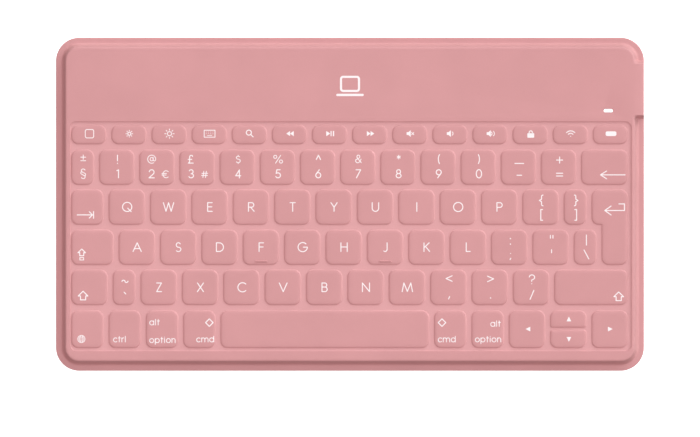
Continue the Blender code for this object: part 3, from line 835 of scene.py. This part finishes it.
# Strokes of each sign, in units of its height. M starts a stroke and F a filled shape, numbers are
# points, A is an arc (centre, radii, first and last angle), L goes back to points, and Z closes it.
SIGNS = {
    "a": "M0 0 .475 1 .95 0 M.165 .33 .785 .33",
    "b": "M0 0 0 1 .32 1 A.32 .765 .235 .235 90 -90 L0 .53 M.32 .53 A.34 .265 .265 .265 90 -90 L0 0",
    "c": "M A.54 .5 .54 .53 46 314",
    "d": "M0 0 0 1 .32 1 A.32 .5 .5 .5 90 -90 L0 0",
    "e": "M.53 0 0 0 0 1 .53 1 M0 .52 .49 .52",
    "f": "M0 0 0 1 .52 1 M0 .52 .47 .52",
    "g": "M A.54 .5 .54 .53 46 360 L.62 .5",
    "h": "M0 0 0 1 M.73 0 .73 1 M0 .52 .73 .52",
    "i": "M0 0 0 1",
    "j": "M.47 1 .47 .26 A.235 .26 .235 .27 0 -130",
    "k": "M0 0 0 1 M.6 1 .02 .46 M.16 .59 .66 0",
    "l": "M0 1 0 0 .46 0",
    "m": "M0 0 .2 1 .6 .02 1 1 1.2 0",
    "n": "M0 0 0 1 .82 0 .82 1",
    "o": "M A.54 .5 .54 .53 0 360 Z",
    "p": "M0 0 0 1 .34 1 A.34 .73 .27 .27 90 -90 L0 .46",
    "q": "M A.54 .5 .54 .53 0 360 Z M.6 .36 1.0 -.05",
    "r": "M0 0 0 1 .36 1 A.36 .74 .26 .26 90 -90 L0 .48 M.26 .46 .66 0",
    "s": "M A.29 .75 .25 .26 32 270 A.29 .24 .29 .25 90 -140",
    "t": "M.3 0 .3 1 M0 1 .6 1",
    "u": "M0 1 0 .36 A.375 .36 .375 .37 180 360 L.75 1",
    "v": "M0 1 .45 0 .9 1",
    "w": "M0 1 .3 0 .6 1 .9 0 1.2 1",
    "x": "M0 0 .7 1 M0 1 .7 0",
    "y": "M0 1 .36 .48 .72 1 M.36 .48 .36 0",
    "z": "M0 1 .55 1 0 0 .55 0",
    "0": "M A.33 .5 .33 .52 0 360 Z",
    "1": "M0 .88 .2 1 .2 0",
    "2": "M A.32 .7 .3 .31 168 -38 L0 0 .65 0",
    "3": "M A.29 .765 .245 .245 155 -90 A.29 .26 .3 .26 90 -155",
    "4": "M.46 0 .46 1 0 .27 .62 .27",
    "5": "M.56 1 .16 1 .07 .55 A.29 .31 .31 .31 128 -150",
    "6": "M.44 1 .05 .46 M A.31 .31 .31 .32 0 360 Z",
    "7": "M0 1 .58 1 .06 0",
    "8": "M A.33 .76 .245 .24 0 360 Z M A.33 .26 .31 .27 0 360 Z",
    "9": "M.18 0 .57 .54 M A.31 .69 .31 .32 0 360 Z",
    "exclam": "M0 1 0 .32 M0 0 0 .03",
    "at": "M A.5 .5 .19 .21 0 360 Z M.69 .7 .69 .45 A.835 .45 .145 .16 180 345 A.5 .5 .49 .5 0 300",
    "pound": "M.56 .86 A.38 .78 .2 .22 30 180 L.18 .16 .02 0 .64 0 M0 .48 .46 .48",
    "dollar": "M A.29 .72 .24 .19 32 270 A.29 .3 .28 .23 90 -145 M.29 1.04 .29 .92 M.29 .06 .29 -.06",
    "percent": "M A.2 .8 .2 .2 0 360 Z M A.94 .2 .2 .2 0 360 Z M.9 1 .24 0",
    "caret": "M0 0 .5 1 1 0",
    "ampersand": "M.74 0 .19 .66 A.36 .79 .19 .2 215 -45 L.13 .42 A.27 .25 .27 .26 130 330 L.72 .47",
    "asterisk": "M.5 0 .5 1 M.07 .25 .93 .75 M.07 .75 .93 .25",
    "paren_open": "M A.9 .5 .5 .75 138 222",
    "paren_close": "M A-.9 .5 .5 .75 42 -42",
    "dash": "M0 0 1 0",
    "plus": "M0 .5 1 .5 M.5 0 .5 1",
    "equals": "M0 .22 1 .22 M0 -.22 1 -.22",
    "plusminus": "M0 .62 .86 .62 M.43 .22 .43 1 M0 0 .86 0",
    "section": ("M A.3 .83 .2 .17 20 215 L.5 .52 A.38 .42 .17 .17 30 -60 M A.3 .17 .2 .17 200 395 L.1 .48 "
                "A.22 .58 .17 .17 210 120"),
    "euro": "M A.6 .5 .45 .5 48 312 M0 .61 .66 .61 M0 .39 .6 .39",
    "hash": "M.22 0 .36 1 M.62 0 .76 1 M0 .33 .92 .33 M.06 .67 .98 .67",
    "brace_open": "M.34 1 A.34 .88 .14 .12 90 180 L.2 .62 0 .5 .2 .38 .2 .12 A.34 .12 .14 .12 180 270",
    "brace_close": "M0 1 A0 .88 .14 .12 90 0 L.14 .62 .34 .5 .14 .38 .14 .12 A0 .12 .14 .12 0 -90",
    "bracket_open": "M.17 1 0 1 0 0 .17 0",
    "bracket_close": "M0 1 .17 1 .17 0 0 0",
    "colon": "M0 0 0 .01 M0 1 0 1.01",
    "semicolon": "M.1 1 .1 1.01 M.14 .12 0 -.12",
    "quotes": "M0 0 0 1 M.9 0 .9 1",
    "bar": "M0 0 0 1",
    "slash": "M0 0 .42 1",
    "backslash": "M0 1 .54 0",
    "tilde": "M A.27 -.08 .27 .27 168 45 A.73 .08 .27 .27 225 348",
    "grave": "M0 1 1 0",
    "less": "M1.12 1 0 .5 1.12 0",
    "greater": "M0 1 1.12 .5 0 0",
    "comma": "M.45 1 0 0",
    "dot": "M0 0 0 .01",
    "question": "M A.33 .73 .3 .27 172 -48 L.3 .42 .3 .27 M.3 0 .3 .01",
    "keyboard": "M0 0 1.56 0 1.56 1 0 1 Z",
    "keyboard_dots": ("M.3 .74 .3 .75 M.62 .74 .62 .75 M.94 .74 .94 .75 M1.26 .74 1.26 .75 "
                      "M.3 .5 .3 .51 M.62 .5 .62 .51 M.94 .5 .94 .51 M1.26 .5 1.26 .51 M.46 .24 1.1 .24"),
    "search": "M A.38 .62 .38 .38 0 360 Z M.66 .34 1.02 -.02",
    "rewind": "F.72 0 0 .5 .72 1 F1.44 0 .72 .5 1.44 1",
    "play": "F0 0 .78 .5 0 1 F.84 0 1.04 0 1.04 1 .84 1 F1.3 0 1.54 0 1.54 1 1.3 1",
    "forward": "F0 0 .72 .5 0 1 F.72 0 1.44 .5 .72 1",
    "speaker": "F0 .3 .26 .3 .6 0 .6 1 .26 .7 0 .7",
    "mute_mark": "M0 0 1 1 M0 1 1 0",
    "wave": "M A0 .5 .42 .5 -62 62",
    "waves": "M A0 .5 .3 .36 -62 62 M A.34 .5 .42 .52 -58 58",
    "shackle": "M0 0 0 .3 A.5 .3 .5 .5 180 0 L1 0",
    "radio": "M0 0 0 .01 M A0 0 .62 .62 42 138 M A0 0 1.1 1.1 42 138",
    "arrow_left": "F1.05 0 1.05 1 0 .5",
    "arrow_right": "F0 0 1.05 .5 0 1",
    "arrow_up": "F0 0 1 0 .5 1.05",
    "arrow_down": "F0 1.05 .5 0 1 1.05",
    "shift": "M.56 1 1.12 .45 .86 .45 .86 0 .26 0 .26 .45 0 .45 Z",
    "caps_box": "M0 0 1 0 1 .62 0 .62 Z",
    "globe": "M A.5 .5 .5 .5 0 360 Z M A.5 .5 .22 .5 0 360 Z M0 .5 1 .5 M.1 .76 .9 .76 M.1 .24 .9 .24",
    "tab": "M0 0 6.4 0 M5.0 1.3 6.3 0 5.0 -1.3 M6.75 1.4 6.75 -1.4",
    "backspace": "M0 0 10.1 0 M2.5 1.6 0 0 2.5 -1.6",
    "enter": "M0 0 8.1 0 8.1 2.72 5.8 2.72 M2.6 1.85 0 0 2.6 -1.85",
    "diamond": "M0 .5 .5 1 1 .5 .5 0 Z",
    "keys_bar": "M0 0 10.4 0",
}

# Lower-case letters for words: strokes in units of the tall letters' height, and the width
BOWL = "M A.365 .365 .365 .365 0 360 Z"
LETTERS = {
    "a": (BOWL + " M.73 .73 .73 0", 0.73),
    "c": ("M A.365 .365 .365 .365 48 312", 0.62),
    "d": (BOWL + " M.73 1 .73 0", 0.73),
    "i": ("M.05 0 .05 .73 M.05 .98 .05 .99", 0.10),
    "l": ("M.05 0 .05 1", 0.10),
    "m": ("M0 0 0 .73 M0 .42 A.29 .44 .29 .29 180 0 L.58 0 M.58 .42 A.87 .44 .29 .29 180 0 L1.16 0", 1.16),
    "n": ("M0 0 0 .73 M0 .42 A.29 .44 .29 .29 180 0 L.58 0", 0.58),
    "o": (BOWL, 0.73),
    "p": (BOWL + " M0 .73 0 -.3", 0.73),
    "r": ("M0 0 0 .73 M0 .42 A.28 .44 .28 .29 180 78", 0.30),
    "t": ("M.15 .98 .15 0 M0 .71 .36 .71", 0.34),
}
LETTER_GAP = 0.27
WORD_HEIGHT = 2.30
CAPITAL = 3.55
FIGURE = 3.30
STROKE = 0.38
FINE_STROKE = 0.31
HAIR_STROKE = 0.24
DOT_STROKE = 0.52
STEP = 0.7
SHARP_TURN = 32.0
ARC_STEP = 15.0
END_STEPS = 6

# What is printed on each key: signs with x and y, from the key's centre to the sign's middle, and height.
# A star stands for the figures' height.
PRINTS = {
    "home": "home .1 -.05 3.45",
    "dim": "sun_small 0 -.05 1",
    "bright": "sun_large 0 -.05 1",
    "keyboard": "keyboard 0 -.05 2.85, keyboard_dots 0 -.05 2.85",
    "search": "search 0 .05 2.75",
    "rewind": "rewind .1 0 2.1",
    "play": "play .1 0 2.1",
    "forward": "forward .2 0 2.1",
    "mute": "speaker -.62 0 2.8, mute_mark 1.05 0 .85",
    "quiet": "speaker -.6 0 2.8, wave .95 0 1.5",
    "loud": "speaker -.7 0 2.8, waves .98 0 2.1",
    "lock": "lock .1 -.75 2.55, shackle .1 .62 1.3",
    "wireless": "radio 0 0 2.05",
    "battery": "pill .1 -.05 1.92",
    "section": "plusminus .05 3.4 2.35, section .05 -3.15 3.95",
    "1": "exclam .15 2.8 3.4, 1 .25 -3.15 *",
    "2": "at -2.3 2.85 3.35, 2 -2.3 -3.15 *, euro 3.2 -3.35 2.9",
    "3": "pound -2.75 2.85 3.2, 3 -2.55 -3.15 *, hash 2.97 -3.4 2.6",
    "4": "dollar .3 2.75 3.1, 4 .25 -3.2 *",
    "5": "percent .15 2.85 3.2, 5 .15 -3.15 *",
    "6": "caret .2 3.6 1.75, 6 .15 -3.15 *",
    "7": "ampersand .15 2.95 3.15, 7 .1 -3.15 *",
    "8": "asterisk .2 3.7 1.55, 8 .15 -3.15 *",
    "9": "paren_open .2 2.9 3.65, 9 .15 -3.15 *",
    "0": "paren_close .15 2.9 3.65, 0 .15 -3.15 *",
    "minus": "dash .25 1.1 3.6, dash .25 -3.75 1.9",
    "equals": "plus .3 2.5 2.5, equals .3 -3.5 2.6",
    "backspace": "backspace 3.25 -3.6 1",
    "tab": "tab -1.02 -3.55 1",
    "bracket_open": "brace_open .1 2.4 4.4, bracket_open .3 -3.55 4.4",
    "bracket_close": "brace_close .25 2.4 4.4, bracket_close .05 -3.55 4.4",
    "enter": "enter 1.85 6.95 1",
    "caps_lock": "shift -4.57 -2.45 2.75, caps_box -4.57 -5.1 1.55",
    "semicolon": "colon .35 2.08 2.25, semicolon .35 -4.15 2.25",
    "quote": "quotes .3 3.95 1.15, bar .25 -2 1.25",
    "backslash": "bar .35 2.6 4.1, backslash .35 -3.3 3.65",
    "shift": "shift -2.8 -3.7 3.55",
    "backtick": "tilde .2 2.15 2.5, grave .2 -2.7 .7",
    "comma": "less .15 3.3 2.25, comma .15 -4.6 1",
    "period": "greater .2 3.15 2.25, dot .2 -4.7 1",
    "slash": "question .2 2.97 3.65, slash .2 -3.4 3.7",
    "shift_right": "shift 11.2 -4 3.55",
    "globe": "globe -2.65 -4.25 3",
    "cmd_left": "diamond 3.95 2.5 3.1",
    "cmd_right": "diamond -3.6 2.5 3.1",
    "left": "arrow_left .2 -.15 1.9",
    "up": "arrow_up .05 -.2 1.9",
    "down": "arrow_down .05 -.2 1.9",
    "right": "arrow_right .1 -.15 1.9",
}

# Words on keys: (word, x, y of its line, alignment), from the key's centre to the word's left or right end
WORDS = {
    "ctrl": [("ctrl", -4.80, -5.45, "left")],
    "option_left": [("alt", -5.25, 1.55, "left"), ("option", -5.25, -5.75, "left")],
    "cmd_left": [("cmd", 5.75, -5.45, "right")],
    "cmd_right": [("cmd", -5.15, -5.45, "left")],
    "option_right": [("alt", 5.05, 0.95, "right"), ("option", 5.25, -5.45, "right")],
}

# Which keys a joined node holds, from left to right
JOINED = {
    "keys_function_left": "home dim bright keyboard search rewind play",
    "keys_function_right": "forward mute quiet loud lock wireless battery",
    "keys_number_left": "section 1 2 3 4 5 6",
    "keys_number_right": "7 8 9 0 minus equals",
    "keys_bracket": "bracket_open bracket_close",
    "keys_semicolon": "semicolon quote backslash",
    "keys_comma": "comma period slash",
    "keys_shift_left": "shift backtick",
    "keys_modifier_left": "globe ctrl option_left cmd_left",
    "keys_modifier_right": "cmd_right option_right",
}
STROKE_CHOICES = {
    FINE_STROKE: "home keyboard at mute_mark wave waves hash euro percent section caps_box sun_large "
                 "dollar ampersand asterisk plusminus",
    HAIR_STROKE: "globe keyboard_dots",
    DOT_STROKE: "colon dot",
}


def sun(radius, inner, outer, rays=8):
    """The strokes of a sun, in millimetres."""
    text = f"M A0 0 {radius} {radius} 0 360 Z"
    for ray in range(rays):
        x, y = math.cos(ray * 2 * math.pi / rays), math.sin(ray * 2 * math.pi / rays)
        text += f" M{x * inner:.3f} {y * inner:.3f} {x * outer:.3f} {y * outer:.3f}"
    return text


def plate(start, width, height, corner):
    """A rectangle with round corners, drawn after an M or an F."""
    right, top = width - corner, height - corner
    for turn, (x, y) in enumerate(((right, corner), (right, top), (corner, top), (corner, corner))):
        start += f" A{x} {y} {corner} {corner} {turn * 90 - 90} {turn * 90}"
    return start + " Z"


SIGNS.update(
    sun_small=sun(0.66, 1.26, 1.36), sun_large=sun(0.84, 1.42, 1.92), home=plate("M", 1.0, 1.0, 0.2),
    lock=plate("F", 1.1, 0.74, 0.12), pill=plate("F", 2.3, 1.0, 0.35), tablet=plate("M", 7.4, 5.8, 0.9),
)


def strokes_of(text):
    """Reads a sign's strokes, as (points, closed, filled)."""
    for mark in "MFALZ":
        text = text.replace(mark, f" {mark} ")
    found, mode, numbers = [], "M", []
    for word in text.split():
        if word in ("M", "F"):
            found.append([[], False, word == "F"])
        if word == "Z":
            found[-1][1] = True
        if word.isalpha():
            mode, numbers = word, []
            continue
        numbers.append(float(word))
        if mode == "A" and len(numbers) == 6:
            x, y, reach_x, reach_y, first, last = numbers
            steps = max(2, round(abs(last - first) / ARC_STEP))
            for step in range(steps + 1):
                angle = math.radians(first + (last - first) * step / steps)
                found[-1][0].append((x + reach_x * math.cos(angle), y + reach_y * math.sin(angle)))
            numbers = []
        elif mode != "A" and len(numbers) == 2:
            found[-1][0].append(tuple(numbers))
            numbers = []
    cleaned = []
    for points, closed, filled in found:
        kept = [points[0]]
        kept += [point for point, last in zip(points[1:], points) if math.dist(point, last) > 1e-4]
        if (closed or filled) and math.dist(kept[0], kept[-1]) < 1e-4:
            kept.pop()
        cleaned.append((kept, closed, filled))
    return cleaned


def subdivided(points, ring):
    """A line with points added so that it can follow a curved surface."""
    made = []
    for index, start in enumerate(points):
        made.append(start)
        if index == len(points) - 1 and not ring:
            break
        end = points[(index + 1) % len(points)]
        parts = math.ceil(math.dist(start, end) / STEP)
        across, along = end[0] - start[0], end[1] - start[1]
        made += [(start[0] + across * part / parts, start[1] + along * part / parts)
                 for part in range(1, parts)]
    return made


def turning(before, here, after):
    """The angle that a line turns by at a point, in degrees."""
    a, b = unit(before, here), unit(here, after)
    return abs(math.degrees(math.atan2(a[0] * b[1] - a[1] * b[0], a[0] * b[0] + a[1] * b[1])))


def runs_of(points, closed):
    """Splits a stroke at its sharp corners, as (points, closed) runs."""
    count = len(points)
    if closed:
        turns = [turning(points[i - 1], points[i], points[(i + 1) % count]) for i in range(count)]
        sharp = [i for i in range(count) if turns[i] > SHARP_TURN]
        if not sharp:
            return [(points, True)]
        turned = points[sharp[0]:] + points[:sharp[0] + 1]
        return runs_of(turned, False)
    runs, run = [], [points[0]]
    for index in range(1, count):
        run.append(points[index])
        if index < count - 1 and turning(points[index - 1], points[index], points[index + 1]) > SHARP_TURN:
            runs.append((run, False))
            run = [points[index]]
    runs.append((run, False))
    return runs


def ribbon(points, closed, width):
    """The outline of a stroke with round ends, as one loop, or as two for a ring."""
    half = width / 2
    count = len(points)
    sides = []
    for index, here in enumerate(points):
        before = points[index - 1] if closed or index else None
        after = points[(index + 1) % count] if closed or index < count - 1 else None
        ahead = unit(before or here, after or here) if (before or after) else (1.0, 0.0)
        sides.append((-ahead[1] * half, ahead[0] * half))
    left = [(x + dx, y + dy) for (x, y), (dx, dy) in zip(points, sides)]
    right = [(x - dx, y - dy) for (x, y), (dx, dy) in zip(points, sides)]
    if closed:
        return [left, right]

    def end_cap(centre, start_side):
        first = math.atan2(start_side[1], start_side[0])
        turns = [first - math.pi * step / END_STEPS for step in range(1, END_STEPS)]
        return [(centre[0] + half * math.cos(turn), centre[1] + half * math.sin(turn)) for turn in turns]

    tail = end_cap(points[-1], sides[-1])
    head = end_cap(points[0], (-sides[0][0], -sides[0][1]))
    return [left + tail + list(reversed(right)) + head]


def shapes_of(text, height, stroke, centre=None, corner=None):
    """A sign's outlines at its real size and place, as lists of loops."""
    read = strokes_of(text)
    xs = [x for points, _, _ in read for x, _ in points]
    ys = [y for points, _, _ in read for _, y in points]
    if centre:
        middle = (min(xs) + max(xs)) / 2, (min(ys) + max(ys)) / 2
        shift = centre[0] - middle[0] * height, centre[1] - middle[1] * height
    else:
        shift = corner
    shapes = []
    for points, closed, filled in read:
        placed = [(x * height + shift[0], y * height + shift[1]) for x, y in points]
        placed = subdivided(placed, closed or filled)
        if filled:
            shapes.append([placed])
            continue
        shapes += [ribbon(run, ring, stroke) for run, ring in runs_of(placed, closed)]
    return shapes


def word_width(word):
    """A word's width in units of its height."""
    return sum(LETTERS[letter][1] for letter in word) + LETTER_GAP * (len(word) - 1)


def shapes_on(name, key):
    """All that is printed on one key, as groups of outlines that may overlap."""
    groups = []
    default = f"{name} 0 -.3 {CAPITAL}" if len(name) == 1 else ""
    for mark in filter(None, PRINTS.get(name, default).split(", ")):
        sign, x, y, height = mark.replace("*", str(FIGURE)).split()
        centre = key.centre[0] + float(x), key.centre[1] + float(y)
        stroke = next((width for width, signs in STROKE_CHOICES.items() if sign in signs.split()), STROKE)
        groups.append(shapes_of(SIGNS[sign], float(height), stroke, centre=centre))
    for word, x, y, side in WORDS.get(name, ()):
        start = key.centre[0] + x - (word_width(word) * WORD_HEIGHT if side == "right" else 0.0)
        shapes = []
        for letter in word:
            corner = start, key.centre[1] + y
            shapes += shapes_of(LETTERS[letter][0], WORD_HEIGHT, FINE_STROKE, corner=corner)
            start += (LETTERS[letter][1] + LETTER_GAP) * WORD_HEIGHT
        groups.append(shapes)
    return groups


def add_print(shell, shapes, height_at, thickness=0.02, depth=0.06):
    """Adds outlines, joined where they overlap, as a thin closed layer on a surface."""
    loops = [loop for shape in shapes for loop in shape]
    placed, triangles, _, middles = triangulated(loops, 1e-5)
    inside = np.zeros(len(middles), bool)
    for shape in shapes:
        inside |= crossings(middles, shape)
    kept = [triangle for triangle, held in zip(triangles, inside) if held]
    used = sorted({i for triangle in kept for i in triangle})
    spots = [(placed[i].x, placed[i].y, height_at(placed[i].x, placed[i].y)) for i in used]
    tops = shell.loop([(x, y, z + thickness) for x, y, z in spots])
    bottoms = shell.loop([(x, y, z - depth) for x, y, z in spots])
    top_of, bottom_of = dict(zip(used, tops)), dict(zip(used, bottoms))
    sides = {(triangle[k - 1], triangle[k]) for triangle in kept for k in range(3)}
    for a, b, c in kept:
        shell.faces.append((top_of[a], top_of[b], top_of[c]))
        shell.faces.append((bottom_of[c], bottom_of[b], bottom_of[a]))
    for start, end in sorted(side for side in sides if side[::-1] not in sides):
        shell.faces.append((top_of[end], top_of[start], bottom_of[start], bottom_of[end]))


def make_legends():
    """The printed legends, one piece for each moving body that has any."""
    for node in KEY_NODES:
        names = JOINED[node].split() if node in JOINED else [node[len("key_"):]]
        shell = Shell()
        for name, key in zip(names, KEYS[node]):
            for shapes in shapes_on(name, key):
                add_print(shell, shapes, key.height)
        if shell.faces:
            piece = shell.piece(node.replace("key", "legend", 1), INK, node, 30.0)


def make_header_mark():
    """A plain pictogram of a tablet above a row of keys, printed in the middle of the header."""
    centre_y = (FIELD_HIGH[1] + HALF_Y) / 2 - MARK_DROP
    shell = Shell()
    shapes = shapes_of(SIGNS["tablet"], 1.0, TABLET_STROKE, centre=(0.0, centre_y + TABLET_SHIFT))
    shapes += shapes_of(SIGNS["keys_bar"], 1.0, BAR_STROKE, centre=(0.0, centre_y + BAR_SHIFT))
    add_print(shell, shapes, lambda x, y: TOP)
    mark = shell.piece("header_mark", INK, "chassis", 30.0)


# ---------------------------------------------------------------- underside, port and light

def make_underside():
    """The lower skin, with a rolled edge and a heat-sealed groove near it."""
    levels = [(-inset, z) for inset, z in UNDERSIDE_PROFILE]
    shell = Shell()
    shell.capped(level_loops(shell, (-HALF_X, -HALF_Y), (HALF_X, HALF_Y), CASE_CORNER, levels, 16))
    piece = shell.piece("underside_skin", UNDERSIDE, "chassis")
    mark_crest(piece)
    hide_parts("bottom_skin")
    return piece


def add_plug(shell, low, high, radius, levels, segments):
    """A closed bar along X, as (x, outward growth) levels."""
    shell.capped(side_loops(shell, low, high, radius, levels, segments), (1, 2))


def make_port_frame():
    """The cap in the side, round the socket and the switch."""
    slot_low = NUB_LOW[0] - NUB_PLAY, NUB_LOW[1] - NUB_PLAY
    slot_high = NUB_HIGH[0] + NUB_TRAVEL + NUB_PLAY, NUB_HIGH[1] + NUB_PLAY
    back, front = CAP_LOW[0], CAP_HIGH[0]
    shell = Shell()
    rim = side_loops(shell, CAP_LOW[1:], CAP_HIGH[1:], CAP_CORNER,
                     ((back, 0.0), (front - 0.07, 0.0), (front - 0.02, -0.015), (front, -0.05)))
    holes = []
    for low, high, radius, grow, lead_in in ((USB_LOW[1:], USB_HIGH[1:], SOCKET_CORNER, 0.08, 0.03),
                                             (slot_low, slot_high, 0.3, 0.0, 0.14)):
        holes.append(side_loops(shell, low, high, radius,
                                ((front, grow + lead_in), (front - lead_in * 0.4, grow + lead_in * 0.35),
                                 (front - lead_in, grow), (back, grow))))
    for loops in (rim, *holes):
        shell.stack(loops)
    shell.fill([rim[-1], holes[0][0], holes[1][0]], (1, 2))
    shell.fill([rim[0], holes[0][-1], holes[1][-1]], (1, 2))
    cap = shell.piece("port_frame", PINK_POLYMER, "chassis")
    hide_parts("port_cap")


def make_socket():
    """The charging socket: its shell, its tongue, and the contacts on both sides of the tongue."""
    deep, mouth = USB_LOW[0], USB_HIGH[0]
    shell = Shell()
    add_plug(shell, USB_LOW[1:], USB_HIGH[1:], SOCKET_CORNER,
             ((deep, 0.0), (mouth - 0.12, 0.0), (mouth - 0.03, -0.03), (mouth, -0.10), (mouth, -0.19),
              (mouth - 0.04, -0.26), (mouth - 0.12, -0.30), (mouth - 5.2, -0.31)), 7)
    socket = shell.piece("socket_shell", NICKEL, "chassis")
    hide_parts("usb_port")

    middle_y, middle_z = (USB_LOW[1] + USB_HIGH[1]) / 2, (USB_LOW[2] + USB_HIGH[2]) / 2
    low = middle_y - TONGUE_HALF_Y, middle_z - TONGUE_HALF_Z
    high = middle_y + TONGUE_HALF_Y, middle_z + TONGUE_HALF_Z
    shell = Shell()
    add_plug(shell, low, high, 0.12,
             ((mouth - 5.15, 0.0), (mouth - 1.15, 0.0), (mouth - 1.03, -0.03), (mouth - 1.0, -0.10)), 4)
    tongue = shell.piece("socket_tongue", DARK_POLYMER, "chassis")

    shell = Shell()
    for side in (-1, 1):
        for number in range(CONTACTS):
            y = middle_y + (number - (CONTACTS - 1) / 2) * CONTACT_PITCH
            z = middle_z + side * (TONGUE_HALF_Z + CONTACT_RISE)
            low, high = (y - CONTACT_HALF_Y, z - CONTACT_HALF_Z), (y + CONTACT_HALF_Y, z + CONTACT_HALF_Z)
            add_plug(shell, low, high, 0.025,
                     ((mouth - 4.6, 0.0), (mouth - 1.35, 0.0), (mouth - 1.30, -0.01)), 2)
    contacts = shell.piece("socket_contacts", GOLD, "chassis")


def make_switch():
    """The power switch's slider: a carriage with a ribbed nub."""
    root, tip = SLIDER_LOW[0], SLIDER_HIGH[0]
    shoulder = CAP_LOW[0] - 0.55
    shell = Shell()
    carriage = side_loops(shell, SLIDER_LOW[1:], SLIDER_HIGH[1:], 0.15,
                          ((root, -0.10), (root + 0.1, 0.0), (shoulder, 0.0)), 4)
    nub = side_loops(shell, NUB_LOW, NUB_HIGH, 0.28,
                     ((shoulder, 0.0), (tip - 0.22, 0.0), (tip - 0.12, -0.05), (tip - 0.06, -0.14)), 4)
    shell.stack(carriage)
    shell.fill([carriage[0]], (1, 2))
    shell.fill([carriage[-1], nub[0]], (1, 2))
    shell.stack(nub)
    shell.fill([nub[-1]], (1, 2))
    for number in range(RIBS):
        y = (NUB_LOW[0] + NUB_HIGH[0]) / 2 + (number - (RIBS - 1) / 2) * RIB_PITCH
        low, high = (y - RIB_HALF, NUB_LOW[1] + RIB_MARGIN), (y + RIB_HALF, NUB_HIGH[1] - RIB_MARGIN)
        add_plug(shell, low, high, 0.09, ((tip - 0.10, 0.0), (tip - 0.03, 0.0), (tip, -0.06)), 3)
    slider = shell.piece("switch_nub", DARK_POLYMER, "power_slider")
    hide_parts("power_slider")


def make_light():
    """The status light's lens, slightly domed."""
    low, top = LIGHT_LOW[2], LIGHT_HIGH[2]
    levels = ((-0.10, low), (0.0, low + 0.1), (0.0, top - 0.16), (-0.04, top - 0.08), (-0.12, top - 0.035),
              (-0.28, top - 0.01), (-0.5, top))
    shell = Shell()
    shell.capped(level_loops(shell, LENS_LOW, LENS_HIGH, LENS_CORNER, levels))
    lens = shell.piece("light_lens", LENS, "chassis")
    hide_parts("status_light")


def finish_inner_pieces():
    """Materials for the pieces inside, whose shapes come from the frame."""
    finishes = {
        "inner_frame": DARK_POLYMER, "guide_plate": DARK_POLYMER, "base_plate": STEEL,
        "membrane_circuit": printed_film(), "dome_sheet": silicone(), "battery_cell": foil_pouch(),
        "main_board": circuit_board(), "switch_body": NICKEL,
    }
    for name, finish in finishes.items():
        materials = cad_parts[name].data.materials
        materials.clear()
        materials.append(finish)


# ---------------------------------------------------------------- floor, light and camera

PAPER_REACH = 4.0
SKY_DIM = (0.465, 0.216, 0.216)
SKY_BRIGHT = (1.195, 1.155, 1.155)
HORIZON = 0.06
# Lamps: name, azimuth, elevation, strength and angular width
SUNS = (("overhead", 90.0, 89.0, 0.54, 25.0), ("back_right", 45.0, 15.0, 0.77, 70.0),
        ("back_right_low", 45.0, 4.5, 0.25, 9.0))
FRAME_WIDTH = 0.28810
LENS_LENGTH = 800.0
SENSOR = 36.0
VIEW_CENTRE = (0.0, -0.0059)


def make_floor():
    """A pale floor that stays white."""
    mesh = bpy.data.meshes.new("floor")
    corners = rectangle((-PAPER_REACH, -PAPER_REACH), (PAPER_REACH, PAPER_REACH))
    mesh.from_pydata([(x, y, -0.0003) for x, y in corners], [], [(0, 1, 2, 3)])
    g = Graph("white_paper")
    paper = g.mix(g.noise(40.0), (0.93, 0.93, 0.93), (0.95, 0.95, 0.95))
    mesh.materials.append(g.finish(Base_Color=paper, Roughness=0.9, Emission_Color=(1.0, 1.0, 1.0),
                                   Emission_Strength=0.55))
    floor = link("floor", mesh)
    floor.visible_diffuse = False
    floor.visible_glossy = False


def make_surround():
    """A soft surround: bright to the back right, pink and dim to the front left, dark below the floor."""
    world = bpy.data.worlds.new("surround")
    world.use_nodes = True
    nodes = Nodes(world.node_tree)
    ray = nodes.add("ShaderNodeTexCoord").outputs["Generated"]
    back_right = (math.sqrt(0.5), math.sqrt(0.5), 0.0)
    towards = nodes.add("ShaderNodeVectorMath", {0: ray, 1: back_right}, operation="DOT_PRODUCT")
    shades = {6: towards.outputs["Value"], 7: (-1.0,) * 3, 8: (1.0,) * 3, 9: SKY_DIM, 10: SKY_BRIGHT}
    shade = nodes.add("ShaderNodeMapRange", shades, data_type="FLOAT_VECTOR")
    height = nodes.add("ShaderNodeSeparateXYZ", {0: ray}).outputs[2]
    background = world.node_tree.nodes["Background"]
    nodes.put(background.inputs["Color"], shade.outputs[1])
    nodes.put(background.inputs["Strength"], nodes.span(height, -HORIZON, HORIZON))
    bpy.context.scene.world = world


def make_lamps():
    """A soft overhead light, and low light from the back right."""
    for name, azimuth, elevation, strength, width in SUNS:
        light = bpy.data.lights.new(name, "SUN")
        light.energy = strength * math.pi
        light.angle = math.radians(width)
        lamp = link(name, light)
        turn, rise = math.radians(azimuth), math.radians(elevation)
        towards = Vector((math.cos(turn) * math.cos(rise), math.sin(turn) * math.cos(rise), math.sin(rise)))
        lamp.rotation_mode = "QUATERNION"
        lamp.rotation_quaternion = towards.to_track_quat("Z", "Y")
        lamp.location = towards


def make_camera():
    """A long lens straight above."""
    data = bpy.data.cameras.new("camera")
    data.lens = LENS_LENGTH
    data.sensor_width = SENSOR
    camera = link("camera", data)
    camera.location = (*VIEW_CENTRE, FRAME_WIDTH * LENS_LENGTH / SENSOR + TOP * MM)
    bpy.context.scene.camera = camera
    bpy.context.scene.view_settings.view_transform = "Standard"


make_camera()
make_floor()
make_surround()
make_lamps()
skin = make_skin()
key_skins = make_key_skins()
make_legends()
make_header_mark()
underside = make_underside()
make_port_frame()
make_socket()
make_switch()
make_light()
finish_inner_pieces()
